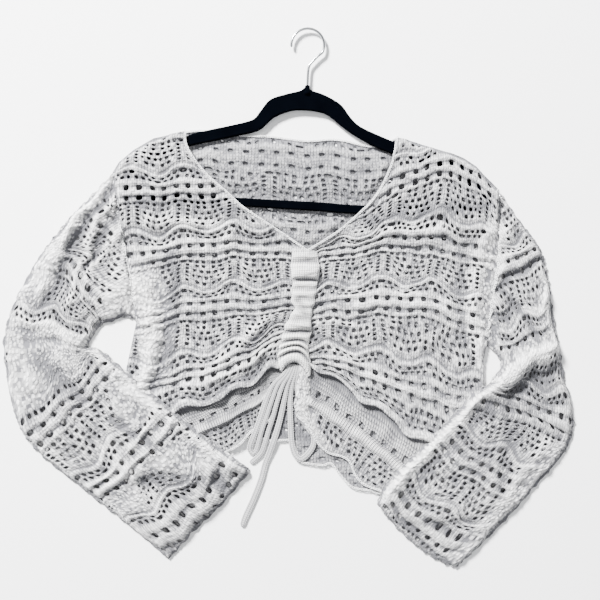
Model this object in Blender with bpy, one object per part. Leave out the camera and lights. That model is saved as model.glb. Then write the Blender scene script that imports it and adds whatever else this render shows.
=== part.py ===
"""A lace-knit top with a V neck, laid flat on its hanger with both sleeves folded forward.

The fabric is modelled as walls of real thickness. Every panel is lofted through short tables
of stations, in millimetres, in the frame of the laid-out garment: X to the right, Y towards
the hanger's hook and Z up from the table. Points are turned into metres when a mesh is made.
"""
import math

import bmesh
import bpy
import numpy as np

# Driving sizes, in millimetres
WALL = 2.0                    # thickness of the knitted fabric
SEAM = 0.3                    # gap left between pieces that are sewn together
SEAM_SIDE = 0.5               # the same gap across a curved seam
SEAM_CENTRE = 1.2             # and between the fronts, under the casing
FRONT_FLOOR = WALL + SEAM     # underside of the front where it lies on the back
HANGER_THICK = 5.0
HANGER_FLOOR = FRONT_FLOOR    # the hanger lies on the back panel
WIRE_RADIUS = 1.4             # hook wire
HOOK_RADIUS = 20.0            # bend of the hook, to the middle of the wire
HOOK_SECTIONS = 30
LACE_THICK = 1.8              # flat knitted drawstring
LACE_SECTION = 6.5            # distance between its sections
CASING_WALL = 1.5
EYELET_WIDE = 6.2             # a large eyelet, across and along the wales
EYELET_HIGH = 7.2
EYELETS_A_MOTIF = 4           # large eyelets in one lace motif
CELL = 17.0                   # the loft's stations are about this far apart
EDGE_BAND = 6.0               # width over which an edge turns down to the layer below
FOREARM_REST = 2.0 * WALL + 3.0 * SEAM   # a folded sleeve lies this high on the body
FOREARM_CLIMB = (36.0, 16.0)  # it starts to rise this far from the body, over this width
CASING_FLOOR = 2.0 * WALL + 2.5 * SEAM   # the casing lies on both fronts
CASING_CLEAR = 22.0           # the fronts stay flat this far to each side of its middle

MIDDLE = (-3.4, 1.2)          # of the whole garment's box, in the frame of the tables

# Outline of the body, seam by seam
ARMHOLE_LEFT = [(-218, 154), (-212, 102), (-201, 41), (-189, -29)]
SIDE_LEFT = [(-189, -29), (-196, -62), (-201, -84), (-203, -123), (-196, -160), (-188, -192)]
ARMHOLE_RIGHT = [(255, 132), (256, 68), (249, 5), (239, -55)]
SIDE_RIGHT = [(239, -55), (235, -74), (235, -102), (234, -135), (228, -178), (221, -233)]
SHOULDER_LEFT = [(-218, 154), (-210, 167), (-192, 182), (-168, 196), (-150, 200), (-129, 204)]
NECK_LEFT = [(-129, 204), (-127, 187), (-116, 168), (-100, 149), (-77, 129), (-60, 113),
             (-38, 98), (-6, 77), (20, 59)]
NECK_RIGHT = [(20, 59), (40, 71), (60, 84), (83, 104), (99, 120), (111, 138), (121, 160),
              (125, 174), (129, 196)]
SHOULDER_RIGHT = [(129, 196), (143, 194), (170, 185), (196, 178), (211, 172), (226, 162),
                  (235, 152), (255, 132)]
CENTRE_FRONT = [(20, 59), (17, 11), (11, -38), (6, -81)]
CENTRE_LEFT_END = [(2, -92), (-9, -110), (-19, -128), (-26, -148)]
CENTRE_RIGHT_END = [(12, -86), (15, -95), (10, -105), (6, -117), (3, -129), (8, -143)]
HEM_LEFT = [(-188, -192), (-160, -200), (-129, -196), (-111, -199), (-89, -190), (-74, -184),
            (-61, -176), (-49, -162), (-38, -156), (-26, -148)]
HEM_RIGHT = [(8, -143), (21, -155), (31, -173), (45, -187), (62, -192), (72, -199), (78, -214),
             (89, -226), (107, -233), (133, -242), (170, -248), (200, -245), (221, -233)]
BACK_NECK = [(-129, 204), (-111, 206), (-87, 204), (-60, 200), (-22, 198), (17, 193), (49, 195),
             (67, 193), (87, 188), (105, 187), (129, 196)]
BACK_HEM = [(-188, -189), (-154, -195), (-111, -194), (-74, -182), (-59, -173), (-44, -167),
            (-27, -173), (-1, -173), (6, -184), (11, -198), (20, -201), (39, -203), (49, -201),
            (60, -215), (72, -228), (82, -232), (96, -234), (107, -237), (133, -239),
            (182, -243), (220, -231)]

# Rows of the lace on each front: one line for each row of large eyelets, from the neck down,
# and one point for each column of ladder stitches, from left to right
ROWS_LEFT = [
    [(-192, 123), (-131, 124), (-70, 129), (-9, 131), (52, 131)],
    [(-189, 40), (-131, 51), (-70, 56), (-9, 54), (52, 54)],
    [(-194, -40), (-131, -22), (-70, -15), (-11, -11), (41, -7)],
    [(-199, -113), (-133, -102), (-70, -82), (-23, -54), (11, -35)],
    [(-172, -172), (-116, -151), (-62, -126), (-28, -106), (1, -92)],
]
ROWS_RIGHT = [
    [(5, 78), (66, 94), (128, 132), (187, 152), (235, 131), (279, 90)],
    [(-10, 43), (52, 52), (115, 62), (177, 59), (233, 45), (292, 29)],
    [(-16, -28), (45, -18), (109, -12), (170, -17), (228, -38), (285, -56)],
    [(-11, -72), (51, -84), (109, -104), (170, -126), (228, -142), (289, -154)],
    [(7, -99), (51, -128), (107, -171), (160, -209), (214, -239), (267, -270)],
]
BACK_ROWS = (167.0, 156.0, 101.0)        # rows of large eyelets on the back, at the left neck
BACK_ROW_START = -101.0
BACK_ROW_SLOPE = -0.063
BACK_EYELET_PITCH = 18.6
BACK_EYELET_SPAN = (-192.1, 230.0)

# Sleeves: a line for each station from the armhole to the cuff. Each point holds X, Y and the
# height of the upper layer's inside above what the sleeve lies on, from the outer edge inwards.
# The first value in a line counts lace repeats from the armhole, and the second is how far
# the station has climbed onto the body where it crosses the body's edge.
SLEEVE_LEFT = [
    (0.0, 0.0, [(-218, 154, 3), (-211, 94, 4), (-201, 35, 4), (-190.5, -26, 3)]),
    (0.5, 0.0, [(-253, 117, 4), (-233, 72, 5), (-216, 24, 6), (-203, -21, 3)]),
    (1.0, 0.0, [(-282, 85, 4), (-259, 48, 4), (-237, 10, 7), (-217, -26, 3)]),
    (1.4, 0.0, [(-315, 40, 4), (-289, 13, 4), (-264, -11, 7), (-234, -33, 3)]),
    (1.8, 0.0, [(-345, -23, 3), (-318, -29, 3), (-285, -43, 4), (-248, -57, 3)]),
    (2.2, 0.5, [(-350, -77, 5), (-311, -72, 9), (-272, -65, 9), (-233, -63, 5)]),
    (3.0, 1.0, [(-326, -167, 3), (-284, -138, 6), (-245, -111, 6), (-205, -85, 4)]),
    (4.0, 1.0, [(-251, -235, 3), (-206, -203, 5), (-162, -176, 6), (-105, -168, 4)]),
    (4.9, 1.0, [(-196, -278, 3), (-150, -255, 5), (-105, -227, 6), (-62, -199, 4)]),
    (5.3, 1.0, [(-150, -318, 3), (-117, -282, 3), (-83, -249, 4), (-50, -211, 3)]),
]
SLEEVE_RIGHT = [
    (0.0, 0.0, [(255, 132, 3), (256, 68, 4), (249, 5, 4), (239, -55, 3)]),
    (0.4, 0.0, [(278, 98, 3), (272, 45, 5), (261, -7, 4), (245, -61, 3)]),
    (0.9, 0.0, [(305, 60, 4), (292, 18, 6), (273, -23, 5), (253, -70, 3)]),
    (1.2, 0.0, [(315, 20, 4), (300, -9, 6), (281, -41, 6), (257, -76, 3)]),
    (1.7, 0.2, [(325, -44, 4), (307, -62, 8), (282, -79, 9), (255, -86, 5)]),
    (1.9, 0.9, [(329, -65, 5), (310, -76, 10), (277, -96, 11), (243, -101, 6)]),
    (2.1, 1.0, [(333, -89, 3), (314, -95, 4), (275, -111, 4), (233, -109, 5)]),
    (3.0, 1.0, [(344, -167, 3), (304, -146, 4), (261, -130, 4), (215, -122, 5)]),
    (4.0, 1.0, [(292, -237, 3), (253, -216, 5), (213, -193, 4), (178, -163, 5)]),
    (5.0, 1.0, [(239, -294, 3), (196, -279, 4), (157, -253, 4), (122, -218, 5)]),
    (5.4, 1.0, [(201, -329, 3), (167, -312, 3), (132, -283, 3), (105, -249, 3)]),
]
SLEEVE_EYELETS = 9            # large eyelets across the upper layer of a sleeve

# Main folds: a soft ridge, or a trough where the height is negative
FOLDS_LEFT_FRONT = [
    # width, height, points along the crest
    (13.0, 3.0, [(-30, -52), (-50, -68), (-105, -100)]),
    (13.0, 2.5, [(-35, -14), (-70, -28), (-120, -36)]),
    (14.0, 3.0, [(-150, 10), (-155, -78)]),
]
FOLDS_RIGHT_FRONT = [
    (15.0, 5.0, [(14, -104), (20, -134), (27, -156), (33, -176)]),
    (13.0, 2.5, [(170, 80), (110, 64), (70, 48)]),
    (13.0, 2.0, [(70, -2), (130, 4), (200, -8)]),
    (14.0, 2.5, [(205, 40), (215, -20), (200, -80)]),
]
FOLDS_SLEEVE_LEFT = [
    (13.0, -3.0, [(-209, 150), (-227, 115), (-251, 72), (-279, 11), (-294, -24)]),
    (13.0, 3.5, [(-218, 130), (-243, 98), (-270, 64), (-306, 11)]),
    (12.0, 6.0, [(-322, -42), (-288, -52), (-250, -66)]),
    (14.0, -2.0, [(-300, -80), (-304, -112)]),
    (13.0, 3.0, [(-233, -205), (-190, -186), (-130, -172)]),
    (13.0, -2.0, [(-78, -228), (-104, -262)]),
]
FOLDS_SLEEVE_RIGHT = [
    (13.0, 5.0, [(308, -66), (262, -95), (214, -130), (184, -163), (147, -199), (120, -232)]),
    (12.0, -2.0, [(312, -92), (262, -124), (224, -156), (182, -192), (141, -232)]),
    (13.0, -2.5, [(252, -20), (282, 0)]),
    (13.0, 3.0, [(276, 70), (296, 22), (300, -30)]),
]

# The casing: distance down from the V, half width to the left and right, height of the puff
CASING_ROWS = [
    (0.0, 15, 16, 1.0), (8.0, 17, 16, 2.5), (15.0, 17, 16, 2.0), (24.0, 17, 15, 5.5),
    (33.0, 15, 14, 5.0), (36.0, 15, 14, 2.0), (42.0, 15, 13, 4.5), (47.0, 15, 13, 2.0),
    (60.0, 15, 13, 4.5), (78.0, 15, 14, 5.0), (92.0, 16, 14, 3.5), (100.0, 18, 15, 1.5),
    (105.0, 18, 16, 4.5), (111.0, 18, 16, 4.5), (114.0, 18, 16, 2.0), (118.0, 19, 16, 5.0),
    (121.0, 19, 16, 2.5), (126.0, 19, 17, 6.0), (129.0, 18, 17, 3.0), (135.0, 17, 17, 7.0),
    (141.0, 15, 16, 5.5), (144.0, 13, 15, 3.0),
]

# The hanger: outer outline from the left end over the top, the bar's lower edge, and the
# triangle inside it
HANGER_OUTER = [(-200, 131), (-201, 142), (-199, 157), (-193, 169), (-182, 177), (-166, 184),
                (-148, 187), (-137, 192), (-128, 198), (-115, 203), (-52, 217), (-40, 226),
                (-26, 243), (-6, 250),
                (11, 254), (16, 257), (18, 260), (22, 260), (24, 255), (41, 249), (61, 237),
                (73, 221), (87, 209), (125, 192), (145, 184), (171, 175), (194, 168),
                (210, 162), (225, 150), (236, 137), (242, 123), (241, 111), (235, 104),
                (83, 104), (35, 107), (-60, 113), (-194, 122)]
HANGER_INNER = [(-187, 131), (-190, 142), (-189, 154), (-183, 166), (-172, 168), (-152, 177),
                (-130, 185), (-60, 200), (-38, 206), (-21, 221), (-1, 229), (17, 230), (38, 227),
                (49, 221), (61, 211), (76, 200), (101, 186), (126, 176), (145, 170), (171, 162),
                (194, 155), (212, 146), (223, 133), (224, 115), (95, 114), (35, 118),
                (-72, 124)]
HANGER_RIB = [(-196, 126), (-197, 148), (-178, 179), (-126, 194), (126, 185), (194, 162),
              (230, 137), (235, 110), (35, 112), (-196, 126)]
HANGER_REACH = (24.0, 49.0)   # full lift of the front up to the first, none past the second
HOOK_STEM = [(20, 260.4), (20.4, 268), (21, 278), (22.5, 285), (27, 290.5), (33, 296.5)]
HOOK_CENTRE = (20.5, 310.0)
HOOK_TURN = (-28.0, 188.0)    # degrees around the bend

# The drawstring's stretches: X, Y, Z of the underside, and width, along each
LACES = {
    "lace_loop_left": [
        (-2.0, -79.5, 4.7, 2.2), (-8.6, -91, 5.6, 2.6), (-22, -105, 6.4, 4.0), (-30, -123, 6.2, 5.5),
        (-37.5, -146, 5.2, 6.0), (-44, -164, 4.6, 6.0), (-49, -177, 2.6, 6.0), (-50, -184, 1.2, 6.0),
        (-46.5, -188.5, 0.8, 5.6), (-42.2, -185, 1.2, 5.2), (-39.6, -176, 2.6, 4.8),
        (-35.5, -160, 4.6, 4.6), (-30, -144, 5.2, 4.4), (-23, -123, 6.2, 4.2), (-16, -105, 6.4, 3.6),
        (-5.2, -91, 5.6, 2.4), (0.6, -79.5, 4.7, 2.2)],
    "lace_tail_short": [
        (3.1, -79.5, 4.7, 2.2), (-1.6, -91, 5.4, 2.6), (-9.8, -105, 6.0, 3.8), (-16, -123, 5.8, 4.2),
        (-22.5, -146, 4.8, 4.4), (-27, -160, 3.4, 4.6), (-31, -174, 2.7, 4.8), (-35.5, -187, 1.2, 5.2),
        (-43, -195.5, 0.3, 5.6), (-50, -201, 0.3, 5.8)],
    "lace_tail_long": [
        (5.6, -79.5, 4.7, 2.2), (2.2, -91, 5.2, 2.6), (-3.8, -105, 4.8, 3.8), (-8, -123, 4.0, 5.0),
        (-13, -146, 2.8, 5.6), (-18, -164, 2.6, 6.0), (-22, -176, 2.6, 6.2), (-26.5, -189, 1.2, 6.4),
        (-31.5, -202, 0.3, 6.5), (-37, -222, 0.3, 6.5), (-46, -245, 0.3, 6.5), (-56, -267, 0.3, 6.5),
        (-60, -279, 0.3, 5.0)],
    "lace_loop_right": [
        (8.1, -79.5, 4.7, 2.2), (5.4, -91, 4.7, 2.4), (1.6, -105, 4.0, 3.8), (-0.8, -123, 2.8, 5.0),
        (-0.4, -152, 2.5, 5.6), (1.0, -176, 2.5, 6.0), (5.0, -190, 2.5, 6.0), (12.0, -195.5, 2.5, 6.0),
        (21.0, -189, 2.5, 6.0), (27.5, -178, 2.5, 5.6), (27.0, -164, 2.5, 5.0), (22.0, -148, 2.5, 4.6),
        (15.5, -132, 2.5, 4.2), (8.8, -118, 2.5, 3.8), (6.2, -105, 3.0, 3.2), (8.6, -91, 4.7, 2.2),
        (10.6, -79.5, 4.7, 2.2)],
}

COTTON = (0.80, 0.80, 0.81)
COTTON_SMOOTH = (0.84, 0.84, 0.85)
VELVET = (0.012, 0.012, 0.016)
CHROME = (0.75, 0.75, 0.76)


def new_collection(name):
    collection = bpy.data.collections.new(name)
    bpy.context.scene.collection.children.link(collection)
    return collection


def material(name, colour, roughness, metallic=0.0):
    made = bpy.data.materials.new(name)
    made.use_nodes = True
    shader = made.node_tree.nodes["Principled BSDF"]
    shader.inputs["Base Color"].default_value = (*colour, 1.0)
    shader.inputs["Roughness"].default_value = roughness
    shader.inputs["Metallic"].default_value = metallic
    made.diffuse_color = (*colour, 1.0)
    return made


def smooth(points, t):
    """Points on a smooth curve through the given ones, with t counted in points."""
    points = np.asarray(points, float)
    t = np.asarray(t, float)
    ends = np.concatenate(([2 * points[0] - points[1]], points, [2 * points[-1] - points[-2]]))
    i = np.clip(np.floor(t).astype(int), 0, len(points) - 2)
    f = (t - i).reshape(t.shape + (1,) * (points.ndim - 1))
    a, b, c, d = ends[i], ends[i + 1], ends[i + 2], ends[i + 3]
    return 0.5 * (2 * b + (c - a) * f + (2 * a - 5 * b + 4 * c - d) * f ** 2
                  + (3 * b - a - 3 * c + d) * f ** 3)


def net_point(rows, row, column):
    """A point of the surface through a table of rows, at a fractional row and column."""
    line = smooth(rows, np.array([row]))[0]
    return smooth(line, np.array([column]))[0]


def chained(*pieces):
    """One line through several tables that share their end points."""
    line = list(pieces[0])
    for piece in pieces[1:]:
        line += piece[1:] if tuple(piece[0]) == tuple(line[-1]) else piece
    return line


def along(points, fractions):
    """Points at the given fractions of a line's length, with the line's corners smoothed."""
    fine = smooth(points, np.linspace(0, len(points) - 1, 12 * len(points)))
    steps = np.concatenate(([0.0], np.cumsum(np.linalg.norm(np.diff(fine, axis=0), axis=1))))
    wanted = np.asarray(fractions) * steps[-1]
    return np.stack([np.interp(wanted, steps, fine[:, k]) for k in range(fine.shape[1])], axis=1)


def length(points):
    return float(np.sum(np.linalg.norm(np.diff(np.asarray(points, float), axis=0), axis=1)))


def distance(x, y, line):
    """Distance from each place to a line of points."""
    line = np.asarray(line, float)
    nearest = np.full(np.shape(x), 1e9)
    for a, b in zip(line[:-1], line[1:]):
        if np.array_equal(a, b):
            continue
        along_x, along_y = b - a
        part = ((x - a[0]) * along_x + (y - a[1]) * along_y) / (along_x ** 2 + along_y ** 2)
        part = np.clip(part, 0.0, 1.0)
        nearest = np.minimum(nearest, np.hypot(x - a[0] - part * along_x, y - a[1] - part * along_y))
    return nearest


def inside(x, y, outline):
    """True for each place within a closed outline."""
    outline = np.asarray(outline, float)
    odd = np.zeros(np.shape(x), bool)
    for a, b in zip(outline, np.roll(outline, -1, axis=0)):
        crosses = (a[1] > y) != (b[1] > y)
        rise = b[1] - a[1] if b[1] != a[1] else 1e-9
        odd ^= crosses & (x < (b[0] - a[0]) * (y - a[1]) / rise + a[0])
    return odd


def ease(value):
    """Rises smoothly from 0 to 1 as the value does."""
    value = np.clip(value, 0.0, 1.0)
    return value * value * (3.0 - 2.0 * value)


def folded(x, y, folds):
    height = np.zeros(np.shape(x))
    for width, rise, crest in folds:
        height += rise * np.exp(-(distance(x, y, crest) / width) ** 2)
    return height


def stations(count_length, edge):
    """Fractions across a panel, with one line close to each edge."""
    inner = max(2, round((count_length - 2 * edge) / CELL))
    band = edge / count_length
    return np.concatenate(([0.0], np.linspace(band, 1.0 - band, inner + 1), [1.0]))


def body_outline():
    left = chained(ARMHOLE_LEFT, SIDE_LEFT)
    right = chained(ARMHOLE_RIGHT, SIDE_RIGHT)
    around = chained(left, BACK_HEM, right[::-1], SHOULDER_RIGHT[::-1], BACK_NECK[::-1],
                     SHOULDER_LEFT[::-1])
    return around[:-1]


def hanger_lift(x, y):
    """How far the front rises where it passes over the hanger."""
    near, far = HANGER_REACH
    return (HANGER_THICK + 2 * SEAM) * ease((far - distance(x, y, HANGER_RIB)) / (far - near))


def front_height(x, y, folds, edge_distance):
    """Underside of a front: on the back, over the hanger and along the folds."""
    centre = np.interp(-y, [-CENTRE_FRONT[0][1], -CENTRE_FRONT[-1][1]],
                       [CENTRE_FRONT[0][0], CENTRE_FRONT[-1][0]])
    beside_casing = ease((np.abs(x - centre) - CASING_CLEAR) / CASING_CLEAR)
    below_casing = ease((CENTRE_FRONT[-1][1] - 2.0 - y) / CASING_CLEAR)
    free = np.maximum(beside_casing, below_casing)
    rise = hanger_lift(x, y) + folded(x, y, folds) * free
    return FRONT_FLOOR + np.maximum(rise, 0.0) * ease(edge_distance / EDGE_BAND)


def wall(name, xy, low, high, look, collection):
    """A closed wall between two grids of heights over the same grid of places."""
    rows, columns = low.shape
    around = np.concatenate((xy[0], xy[1:, -1], xy[-1, -2::-1], xy[-2:0:-1, 0]))
    ahead = np.roll(around, -1, axis=0)
    mirrored = np.sum(around[:, 0] * ahead[:, 1] - around[:, 1] * ahead[:, 0]) < 0
    mesh = bmesh.new()
    layers = []
    for heights in (low, high):
        layers.append([[mesh.verts.new((xy[i, j, 0] / 1000, xy[i, j, 1] / 1000, heights[i, j] / 1000))
                        for j in range(columns)] for i in range(rows)])
    for layer, flip in zip(layers, (True, False)):
        for i in range(rows - 1):
            for j in range(columns - 1):
                near, far = layer[i][j], layer[i + 1][j + 1]
                for face in ([near, layer[i][j + 1], far], [near, far, layer[i + 1][j]]):
                    mesh.faces.new(face[::-1] if flip != mirrored else face)
    rim = ([(0, j) for j in range(columns)] + [(i, columns - 1) for i in range(1, rows)]
           + [(rows - 1, j) for j in range(columns - 2, -1, -1)]
           + [(i, 0) for i in range(rows - 2, 0, -1)])
    for (a, b), (c, d) in zip(rim, rim[1:] + rim[:1]):
        face = [layers[0][a][b], layers[0][c][d], layers[1][c][d], layers[1][a][b]]
        mesh.faces.new(face[::-1] if mirrored else face)
    data = bpy.data.meshes.new(name)
    mesh.to_mesh(data)
    mesh.free()
    data.materials.append(look)
    data.shade_smooth()
    data.set_sharp_from_angle(angle=math.radians(50))
    made = bpy.data.objects.new(name, data)
    collection.objects.link(made)
    return made


def cut_eyelets(panel, eyelets, cutters):
    """Cuts the large eyelets: each is a place and the direction of the wales there."""
    mesh = bmesh.new()
    tall = 0.06
    for place, wale in eyelets:
        wale = np.asarray(wale) / np.linalg.norm(wale)
        across = np.array([-wale[1], wale[0]])
        corners = [place + across * EYELET_WIDE / 2, place + wale * EYELET_HIGH / 2,
                   place - across * EYELET_WIDE / 2, place - wale * EYELET_HIGH / 2]
        low = [mesh.verts.new((c[0] / 1000, c[1] / 1000, -0.01)) for c in corners]
        face = mesh.faces.new(low)
        up = bmesh.ops.extrude_face_region(mesh, geom=[face])
        moved = [v for v in up["geom"] if isinstance(v, bmesh.types.BMVert)]
        bmesh.ops.translate(mesh, verts=moved, vec=(0, 0, tall))
    bmesh.ops.recalc_face_normals(mesh, faces=mesh.faces)
    data = bpy.data.meshes.new(panel.name + "_eyelets")
    mesh.to_mesh(data)
    mesh.free()
    cutter = bpy.data.objects.new(data.name, data)
    cutter.hide_render = True
    cutter.display_type = "WIRE"
    cutters.objects.link(cutter)
    cut = panel.modifiers.new("eyelets", "BOOLEAN")
    cut.operation = "DIFFERENCE"
    cut.solver = "EXACT"
    cut.object = cutter


def eyelets_on_rows(rows, first, last, outline, margin):
    """Large eyelets along each row of a front, kept clear of the panel's edges."""
    found = []
    closed = list(outline) + [outline[0]]
    for row in range(len(rows)):
        for column in np.arange(first, last, 1.0 / EYELETS_A_MOTIF):
            place = net_point(rows, row, column + 0.5 / EYELETS_A_MOTIF)
            below = net_point(rows, min(row + 0.1, len(rows) - 1), column + 0.5 / EYELETS_A_MOTIF)
            above = net_point(rows, max(row - 0.1, 0), column + 0.5 / EYELETS_A_MOTIF)
            clear = distance(place[0], place[1], closed) > margin
            if clear and inside(place[0], place[1], outline):
                found.append((place, above - below))
    return found


def panel_grid(top, bottom, left, right, corner, neck_side):
    """Places of a panel between four edges, with station lines close to each edge.

    The corner is the point of the top edge where the shoulder seam ends, and the neck runs down
    from it on the side given: 1 is towards the right.
    """
    across = stations(0.5 * (length(top) + length(bottom)), EDGE_BAND)
    down = stations(0.5 * (length(left) + length(right)), EDGE_BAND)
    t, b = along(top, across), along(bottom, across)
    below = corner + EDGE_BAND * np.array([0.1 * neck_side, -1.0])
    nearest = np.argmin(np.linalg.norm(t - below, axis=1))
    t[nearest], t[nearest - neck_side] = below, corner
    l, r = along(left, down), along(right, down)
    u, v = across[None, :, None], down[:, None, None]
    ruled_down = (1 - v) * t[None] + v * b[None]
    ruled_across = (1 - u) * l[:, None] + u * r[:, None]
    corners = ((1 - u) * (1 - v) * t[0] + u * (1 - v) * t[-1] + (1 - u) * v * b[0] + u * v * b[-1])
    return ruled_down + ruled_across - corners


def build_front(name, edges, seam, folds, rows, span, look, parts, cutters):
    """A front between its edges, sewn down along the seam, which stops where the hanger lifts it."""
    xy = panel_grid(*edges)
    edge = distance(xy[..., 0], xy[..., 1], seam)
    low = front_height(xy[..., 0], xy[..., 1], folds, edge)
    front = wall(name, xy, low, low + WALL, look, parts)
    outline = np.concatenate((xy[0], xy[1:, -1], xy[-1, -2::-1], xy[-2:0:-1, 0]))
    eyelets = eyelets_on_rows(rows, span[0], span[1], outline, 0.9 * EYELET_HIGH)
    cut_eyelets(front, eyelets, cutters)


def build_back(look, parts):
    """The back lies flat on the table: a filled outline with its eyelets, given its thickness."""
    outline = body_outline()
    data = bpy.data.curves.new("back", "CURVE")
    data.dimensions = "2D"
    data.fill_mode = "BOTH"
    data.extrude = WALL / 2000
    closed = np.array(outline + [outline[0]], float)
    places = []
    for top in BACK_ROWS:
        for x in np.arange(BACK_EYELET_SPAN[0], BACK_EYELET_SPAN[1], BACK_EYELET_PITCH):
            y = top + BACK_ROW_SLOPE * (x - BACK_ROW_START)
            if inside(x, y, closed[:-1]) and distance(x, y, closed) > EYELET_HIGH:
                places.append((x, y))
    loops = [closed[:-1]]
    for x, y in places:
        loops.append([(x + EYELET_WIDE / 2, y), (x, y + EYELET_HIGH / 2),
                      (x - EYELET_WIDE / 2, y), (x, y - EYELET_HIGH / 2)])
    for loop in loops:
        spline = data.splines.new("POLY")
        spline.points.add(len(loop) - 1)
        for point, (x, y) in zip(spline.points, loop):
            point.co = (x / 1000, y / 1000, 0.0, 1.0)
        spline.use_cyclic_u = True
    data.materials.append(look)
    back = bpy.data.objects.new("back", data)
    back.location.z = WALL / 2000
    parts.objects.link(back)


def build_sleeve(name, table, folds, look, parts, cutters):
    """Both layers of a flattened sleeve tube, folded at the elbow."""
    repeats = np.array([line[0] for line in table])
    climb = np.array([line[1] for line in table])
    net = np.array([line[2] for line in table], float)
    seam = net[0, :, :2] + SEAM_SIDE * np.array([np.sign(net[1, 1, 0] - net[0, 1, 0]), 0.0])
    net[0, :, :2] = seam
    middle = 0.5 * (net[:, 1, :2] + net[:, 2, :2])
    steps = np.linalg.norm(np.diff(middle, axis=0), axis=1)
    rows = np.concatenate([np.linspace(k, k + 1, max(1, round(step / CELL)), endpoint=False)
                           for k, step in enumerate(steps)] + [[len(table) - 1.0]])
    columns = stations(150.0, EDGE_BAND) * 3.0
    surface = smooth(net, rows)
    surface = np.swapaxes(smooth(np.swapaxes(surface, 0, 1), columns), 0, 1)
    xy = surface[..., :2]
    outline = body_outline()
    reach = distance(xy[..., 0], xy[..., 1], outline + [outline[0]])
    reach = np.where(inside(xy[..., 0], xy[..., 1], outline), reach, -reach)
    climbed = np.interp(rows, np.arange(len(table)), climb)[:, None]
    rest = FOREARM_REST * climbed * ease((reach + FOREARM_CLIMB[0]) / FOREARM_CLIMB[1])
    wall(name + "_under", xy, rest, rest + WALL, look, parts)
    side = np.minimum(columns, 3.0 - columns)[None, :] * 50.0
    loft = np.maximum(surface[..., 2] - FRONT_FLOOR + folded(xy[..., 0], xy[..., 1], folds), 0.0)
    cuff = ease((xy.shape[0] - 1 - np.arange(xy.shape[0]))[:, None] / 1.5 + 0.4)
    low = rest + FRONT_FLOOR + loft * ease(side / EDGE_BAND) * cuff
    over = wall(name + "_over", xy, low, low + WALL, look, parts)
    eyelets = []
    edges = np.concatenate((xy[0], xy[1:, -1], xy[-1, -2::-1], xy[-2::-1, 0]))
    for repeat in range(1, int(repeats[-1]) + 1):
        row = np.interp(repeat - 0.05, repeats, np.arange(len(table)))
        for k in range(1, SLEEVE_EYELETS):
            column = 3.0 * k / SLEEVE_EYELETS
            place = net_point(net, row, column)[:2]
            wale = net_point(net, row - 0.1, column)[:2] - net_point(net, row + 0.1, column)[:2]
            clear = min([np.linalg.norm(place - other) for other, _ in eyelets] + [1e9])
            if clear > 1.4 * EYELET_HIGH and distance(*place, edges) > 0.9 * EYELET_HIGH:
                eyelets.append((place, wale))
    cut_eyelets(over, eyelets, cutters)


def build_casing(look, parts):
    """A ruched tape on the centre front, from the V to where the drawstring comes out."""
    down = np.array([row[0] for row in CASING_ROWS])
    centre = along(CENTRE_FRONT, down / down[-1])
    across = np.array([-1.0, -0.72, -0.3, 0.3, 0.72, 1.0])
    crown = np.array([0.0, 0.75, 1.0, 1.0, 0.75, 0.0])
    half = np.where(across[None] < 0, np.array([row[1] for row in CASING_ROWS])[:, None],
                    np.array([row[2] for row in CASING_ROWS])[:, None])
    x = centre[:, :1] + half * across[None]
    y = np.repeat(centre[:, 1:2], len(across), axis=1)
    low = CASING_FLOOR + np.array([row[3] for row in CASING_ROWS])[:, None] * crown[None]
    wall("casing", np.stack((x, y), axis=2), low, low + CASING_WALL, look, parts)


def build_laces(look, parts):
    """Flat knitted laces, each a narrow wall along its route."""
    for name, route in LACES.items():
        run = length([(p[0], p[1]) for p in route])
        count = round(run / LACE_SECTION)
        line = along(route, np.linspace(0, 1, count))
        heading = np.gradient(line[:, :2], axis=0)
        heading /= np.linalg.norm(heading, axis=1)[:, None]
        beside = np.stack((-heading[:, 1], heading[:, 0]), axis=1)
        half = 0.5 * line[:, 3:4] * np.array([[-1.0, 0.0, 1.0]])
        xy = line[:, None, :2] + beside[:, None] * half[..., None]
        low = np.repeat(line[:, 2:3], 3, axis=1)
        crown = np.array([[0.75, 1.0, 0.75]]) * LACE_THICK
        wall(name, xy, low, low + crown, look, parts)


def build_hanger(velvet, chrome, parts):
    data = bpy.data.curves.new("hanger_body", "CURVE")
    data.dimensions = "2D"
    data.fill_mode = "BOTH"
    data.bevel_depth = 0.001
    data.bevel_resolution = 0
    data.offset = -0.001
    data.extrude = HANGER_THICK / 2000 - 0.001
    for outline in (HANGER_OUTER, HANGER_INNER):
        spline = data.splines.new("POLY")
        spline.points.add(len(outline) - 1)
        for point, (x, y) in zip(spline.points, outline):
            point.co = (x / 1000, y / 1000, 0.0, 1.0)
        spline.use_cyclic_u = True
    data.materials.append(velvet)
    body = bpy.data.objects.new("hanger_body", data)
    body.location.z = (HANGER_FLOOR + HANGER_THICK / 2) / 1000
    parts.objects.link(body)
    turn = np.radians(np.linspace(HOOK_TURN[0], HOOK_TURN[1], 24))
    bend = [(HOOK_CENTRE[0] + HOOK_RADIUS * math.cos(a), HOOK_CENTRE[1] + HOOK_RADIUS * math.sin(a))
            for a in turn]
    route = along(HOOK_STEM + bend, np.linspace(0, 1, HOOK_SECTIONS))
    wire = bpy.data.curves.new("hanger_hook", "CURVE")
    wire.dimensions = "3D"
    wire.bevel_depth = WIRE_RADIUS / 1000
    wire.bevel_resolution = 2
    wire.use_fill_caps = True
    spline = wire.splines.new("POLY")
    spline.points.add(len(route) - 1)
    for point, (x, y) in zip(spline.points, route):
        point.co = (x / 1000, y / 1000, 0.0, 1.0)
    wire.materials.append(chrome)
    hook = bpy.data.objects.new("hanger_hook", wire)
    hook.location.z = body.location.z
    parts.objects.link(hook)


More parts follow.
